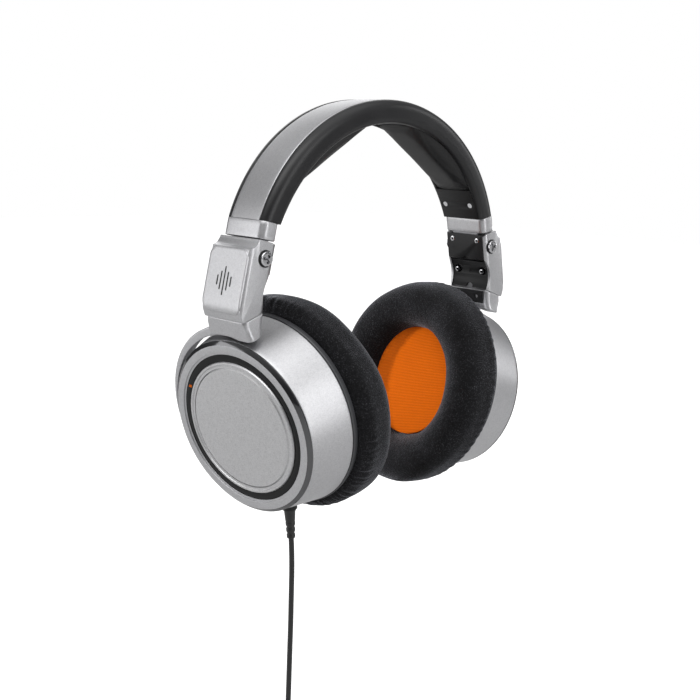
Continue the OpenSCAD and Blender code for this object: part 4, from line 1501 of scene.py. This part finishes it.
class HEADPHONES_OT_hinges(bpy.types.Operator):
    """Both hinges: the blocks with their raised fronts, knuckles, covers and screws"""

    bl_idname = "headphones.hinges"
    bl_label = "Hinges"

    def execute(self, context):
        for side, k in SIDES.items():
            corners = [
                (-5.2, 5.6), (-2.7, 7.1), (4.75, 7.3), (4.95, 6.2), (6.1, 3.7), (8.5, 2.5), (8.65, 0.5),
                (8.65, -20.5), (8.05, -24.0), (5.45, -28.2), (5.35, -29.5), (-5.3, -29.5),
            ]
            profile = refined(
                softened(corners, [0.8, 1.0, 0.2, 1.0, 2.2, 0.5, 0.5, 2.0, 1.5, 0.5, 0.3, 0.3], 6), 2.0
            )
            pole = np.array([1.0, -11.0])
            rows = [
                np.insert(profile if whole else 0 * profile + pole, 1, y, axis=1)
                for whole, y in (
                    (False, -BLOCK_HALF), (True, -BLOCK_HALF), (True, BLOCK_HALF), (False, BLOCK_HALF)
                )
            ]
            block = surface(side + "_block_body", [(np.stack(rows), False, True)], HINGE, k)
            bar = box_outline(-5.2, 9.5, -BLOCK_HALF, BLOCK_HALF, 3, 10)
            rounder = surface(
                "cutter", [(capped(bar, [(99, -40), (0, -40), (0, 10), (99, 10)]), False, True)], HINGE, k
            )
            carved(block, [rounder], "INTERSECT")
            room = (-11.6, 11.6)
            cutters = [
                block_cutter((-10, 4.2), room, (-19, 15), HINGE, k),
                block_cutter((-10, -2.9), room, (-24, -18), HINGE, k),
                rod_cutter(SCALLOP_R, -20, 20, "y", SCALLOP_AT, HINGE, k),
                block_cutter((-40, 40), (-40, 40), (-60, 0.1), SWIVEL, k),
            ]
            carved(block, cutters)
            rounded_edges(block, 0.3, 3, 40)
            tidy_mesh(block.data, merge=1e-7, sharp=math.radians(32))
            keep_place(block.data, HINGE, k)
            finished(block, side + "_block", "satin_metal", side + "_hinge_block")
            plate = surface(side + "_block_plate", [(raised_plate(), False, True)], HINGE, k, sharp=30)
            finished(plate, side + "_block", "satin_metal")
            mark = surface(side + "_block_mark", level_mark(), HINGE, k, sharp=30)
            finished(mark, side + "_block", "black_plastic")
            finished(inner_cover(side, k), side + "_block", "black_plastic", side + "_block_cover")
            knuckle = node_copy(side + "_knuckle", side + "_knuckle_body")
            carved(knuckle, [block_cutter(x, (-20, 20), (-12, 12), HINGE, k) for x in ((2.2, 12), (-12, -5.3))])
            rounded_edges(knuckle, 0.25, 2, 30)
            tidy_mesh(knuckle.data, merge=1e-7)
            keep_place(knuckle.data, HINGE, k)
            finished(knuckle, side + "_slider", "black_plastic", side + "_knuckle")
            deep = screw_heads(side + "_cover_screw_heads", [(-3.4, y, -13) for y in (-8, 8)], 1.35, -5.0, k)
            finished(deep, side + "_block", "screw_steel", side + "_cover_screws")
            for end in (-1, 1):
                name = side + ("_front" if end < 0 else "_rear") + "_pivot_screw"
                finished(pivot_screw(name, end, k), side + "_slider", "screw_steel", side + "_pivot_screws")
            small = screw_heads(side + "_knuckle_screw_heads", [(-5.4, y, 3.8) for y in (-8, 8)], 1.38, -0.8, k)
            finished(small, side + "_slider", "screw_steel", side + "_knuckle_screws")
            finished(side_letter(side, k), side + "_block", "black_plastic")
            dressed(side + "_pivot_washers", "black_plastic")
            dressed(side + "_slider_rail", "spring_steel")
            dressed(side + "_swivel_pin", "screw_steel")
            dressed(side + "_carrier_ring", "spring_steel")
        dressed("headband_spring", "spring_steel")
        dressed("end_plate_screws", "screw_steel")
        return {"FINISHED"}


# ---------- yokes ----------


def yoke_foot():
    """The flared foot: rounded rectangles stacked down the hinge axis. Their outer side slopes in under the
    seam, their inner side leans towards the head, and their width grows a little to the bottom."""
    rings = []
    for down in np.linspace(22, 36.4, 28):
        inner = np.interp(down, [22, 30, 37.5], [-5.3, -6.2, -6.0])
        outer = np.interp(down, [22, 28.06, 38.4], [5.3, 5.3, -0.6])
        half = BLOCK_HALF + 1.4 * smooth(down, 27.5, 36)
        rings.append((box_outline(inner, outer, -half, half, 2.7, 10), -down))
    return ended(stacked(rings))


class HEADPHONES_OT_yokes(bpy.types.Operator):
    """The cast yokes with their rounded edges, and the covers inside their feet"""

    bl_idname = "headphones.yokes"
    bl_label = "Yokes"

    def execute(self, context):
        for side, k in SIDES.items():
            yoke = node_copy(side + "_yoke_arm", side + "_yoke_cast")
            foot = surface("cutter", [(yoke_foot(), False, True)], HINGE, k)
            cone = np.array([(0, -20), (39.5, -20), (46.5, 30), (0, 30)], float)
            around = surface("cutter", [(turned(cone, 192), True, False)], CUP, k)
            carved(foot, [around, block_cutter((-40, 40), (-40, 40), (-0.1, 60), SWIVEL, k)])
            carved(yoke, [foot], "UNION")
            slant = HINGE[1] @ np.array(Matrix.Rotation(math.radians(30), 3, "Y"))
            edge = HINGE[0] + HINGE[1] @ [0.4, 0, -35.7]
            carved(yoke, [block_cutter((-16, 6), (-22, 9), (-9, 0), (edge, slant), k)])
            m = yoke.modifiers.new("Even", "REMESH")
            m.mode, m.voxel_size, m.adaptivity = "VOXEL", 0.36 * MM, 0.0
            m = yoke.modifiers.new("Soft edges", "SMOOTH")
            m.factor, m.iterations = 0.5, 3
            applied(yoke)
            tidy_mesh(yoke.data, merge=1e-7, sharp=math.radians(60), turn=False)
            keep_place(yoke.data, SWIVEL, k)
            finished(yoke, side + "_yoke", "satin_metal", side + "_yoke_arm")
            cover = edged_copy(side + "_yoke_cover", side + "_yoke_cover_edged", 0.12, HINGE, k)
            finished(cover, side + "_yoke", "black_plastic", side + "_yoke_cover")
        return {"FINISHED"}


OPERATORS = (
    HEADPHONES_OT_stage, HEADPHONES_OT_cable, HEADPHONES_OT_band, HEADPHONES_OT_cushions,
    HEADPHONES_OT_hinges, HEADPHONES_OT_yokes, HEADPHONES_OT_cups, HEADPHONES_OT_pads,
)


# ---------- add-on ----------


class HEADPHONES_PT_panel(bpy.types.Panel):
    """The pieces' sizes and the operators that make them"""

    bl_idname = "HEADPHONES_PT_panel"
    bl_label = "Over ear headphones"
    bl_space_type = "VIEW_3D"
    bl_region_type = "UI"
    bl_category = "Headphones"

    def draw(self, context):
        held = context.scene.headphones
        for part in ("band", "cup", "cable", "colours"):
            box = self.layout.box()
            box.label(text=part.capitalize())
            for key in getattr(held, part).__annotations__:
                box.prop(getattr(held, part), key)
        for made in OPERATORS:
            self.layout.operator(made.bl_idname)


CLASSES = (
    BandSettings, CupSettings, CableSettings, ColourSettings, HeadphoneSettings, *OPERATORS, HEADPHONES_PT_panel
)


def register():
    """Adds the classes and the settings to Blender."""
    for c in CLASSES:
        bpy.utils.register_class(c)
    bpy.types.Scene.headphones = PointerProperty(type=HeadphoneSettings)


def unregister():
    """Takes them out again."""
    del bpy.types.Scene.headphones
    for c in reversed(CLASSES):
        bpy.utils.unregister_class(c)


def main():
    """Makes every piece in order."""
    register()
    for operator in OPERATORS:
        getattr(bpy.ops.headphones, operator.bl_idname.split(".")[1])()


if __name__ == "__main__":
    main()
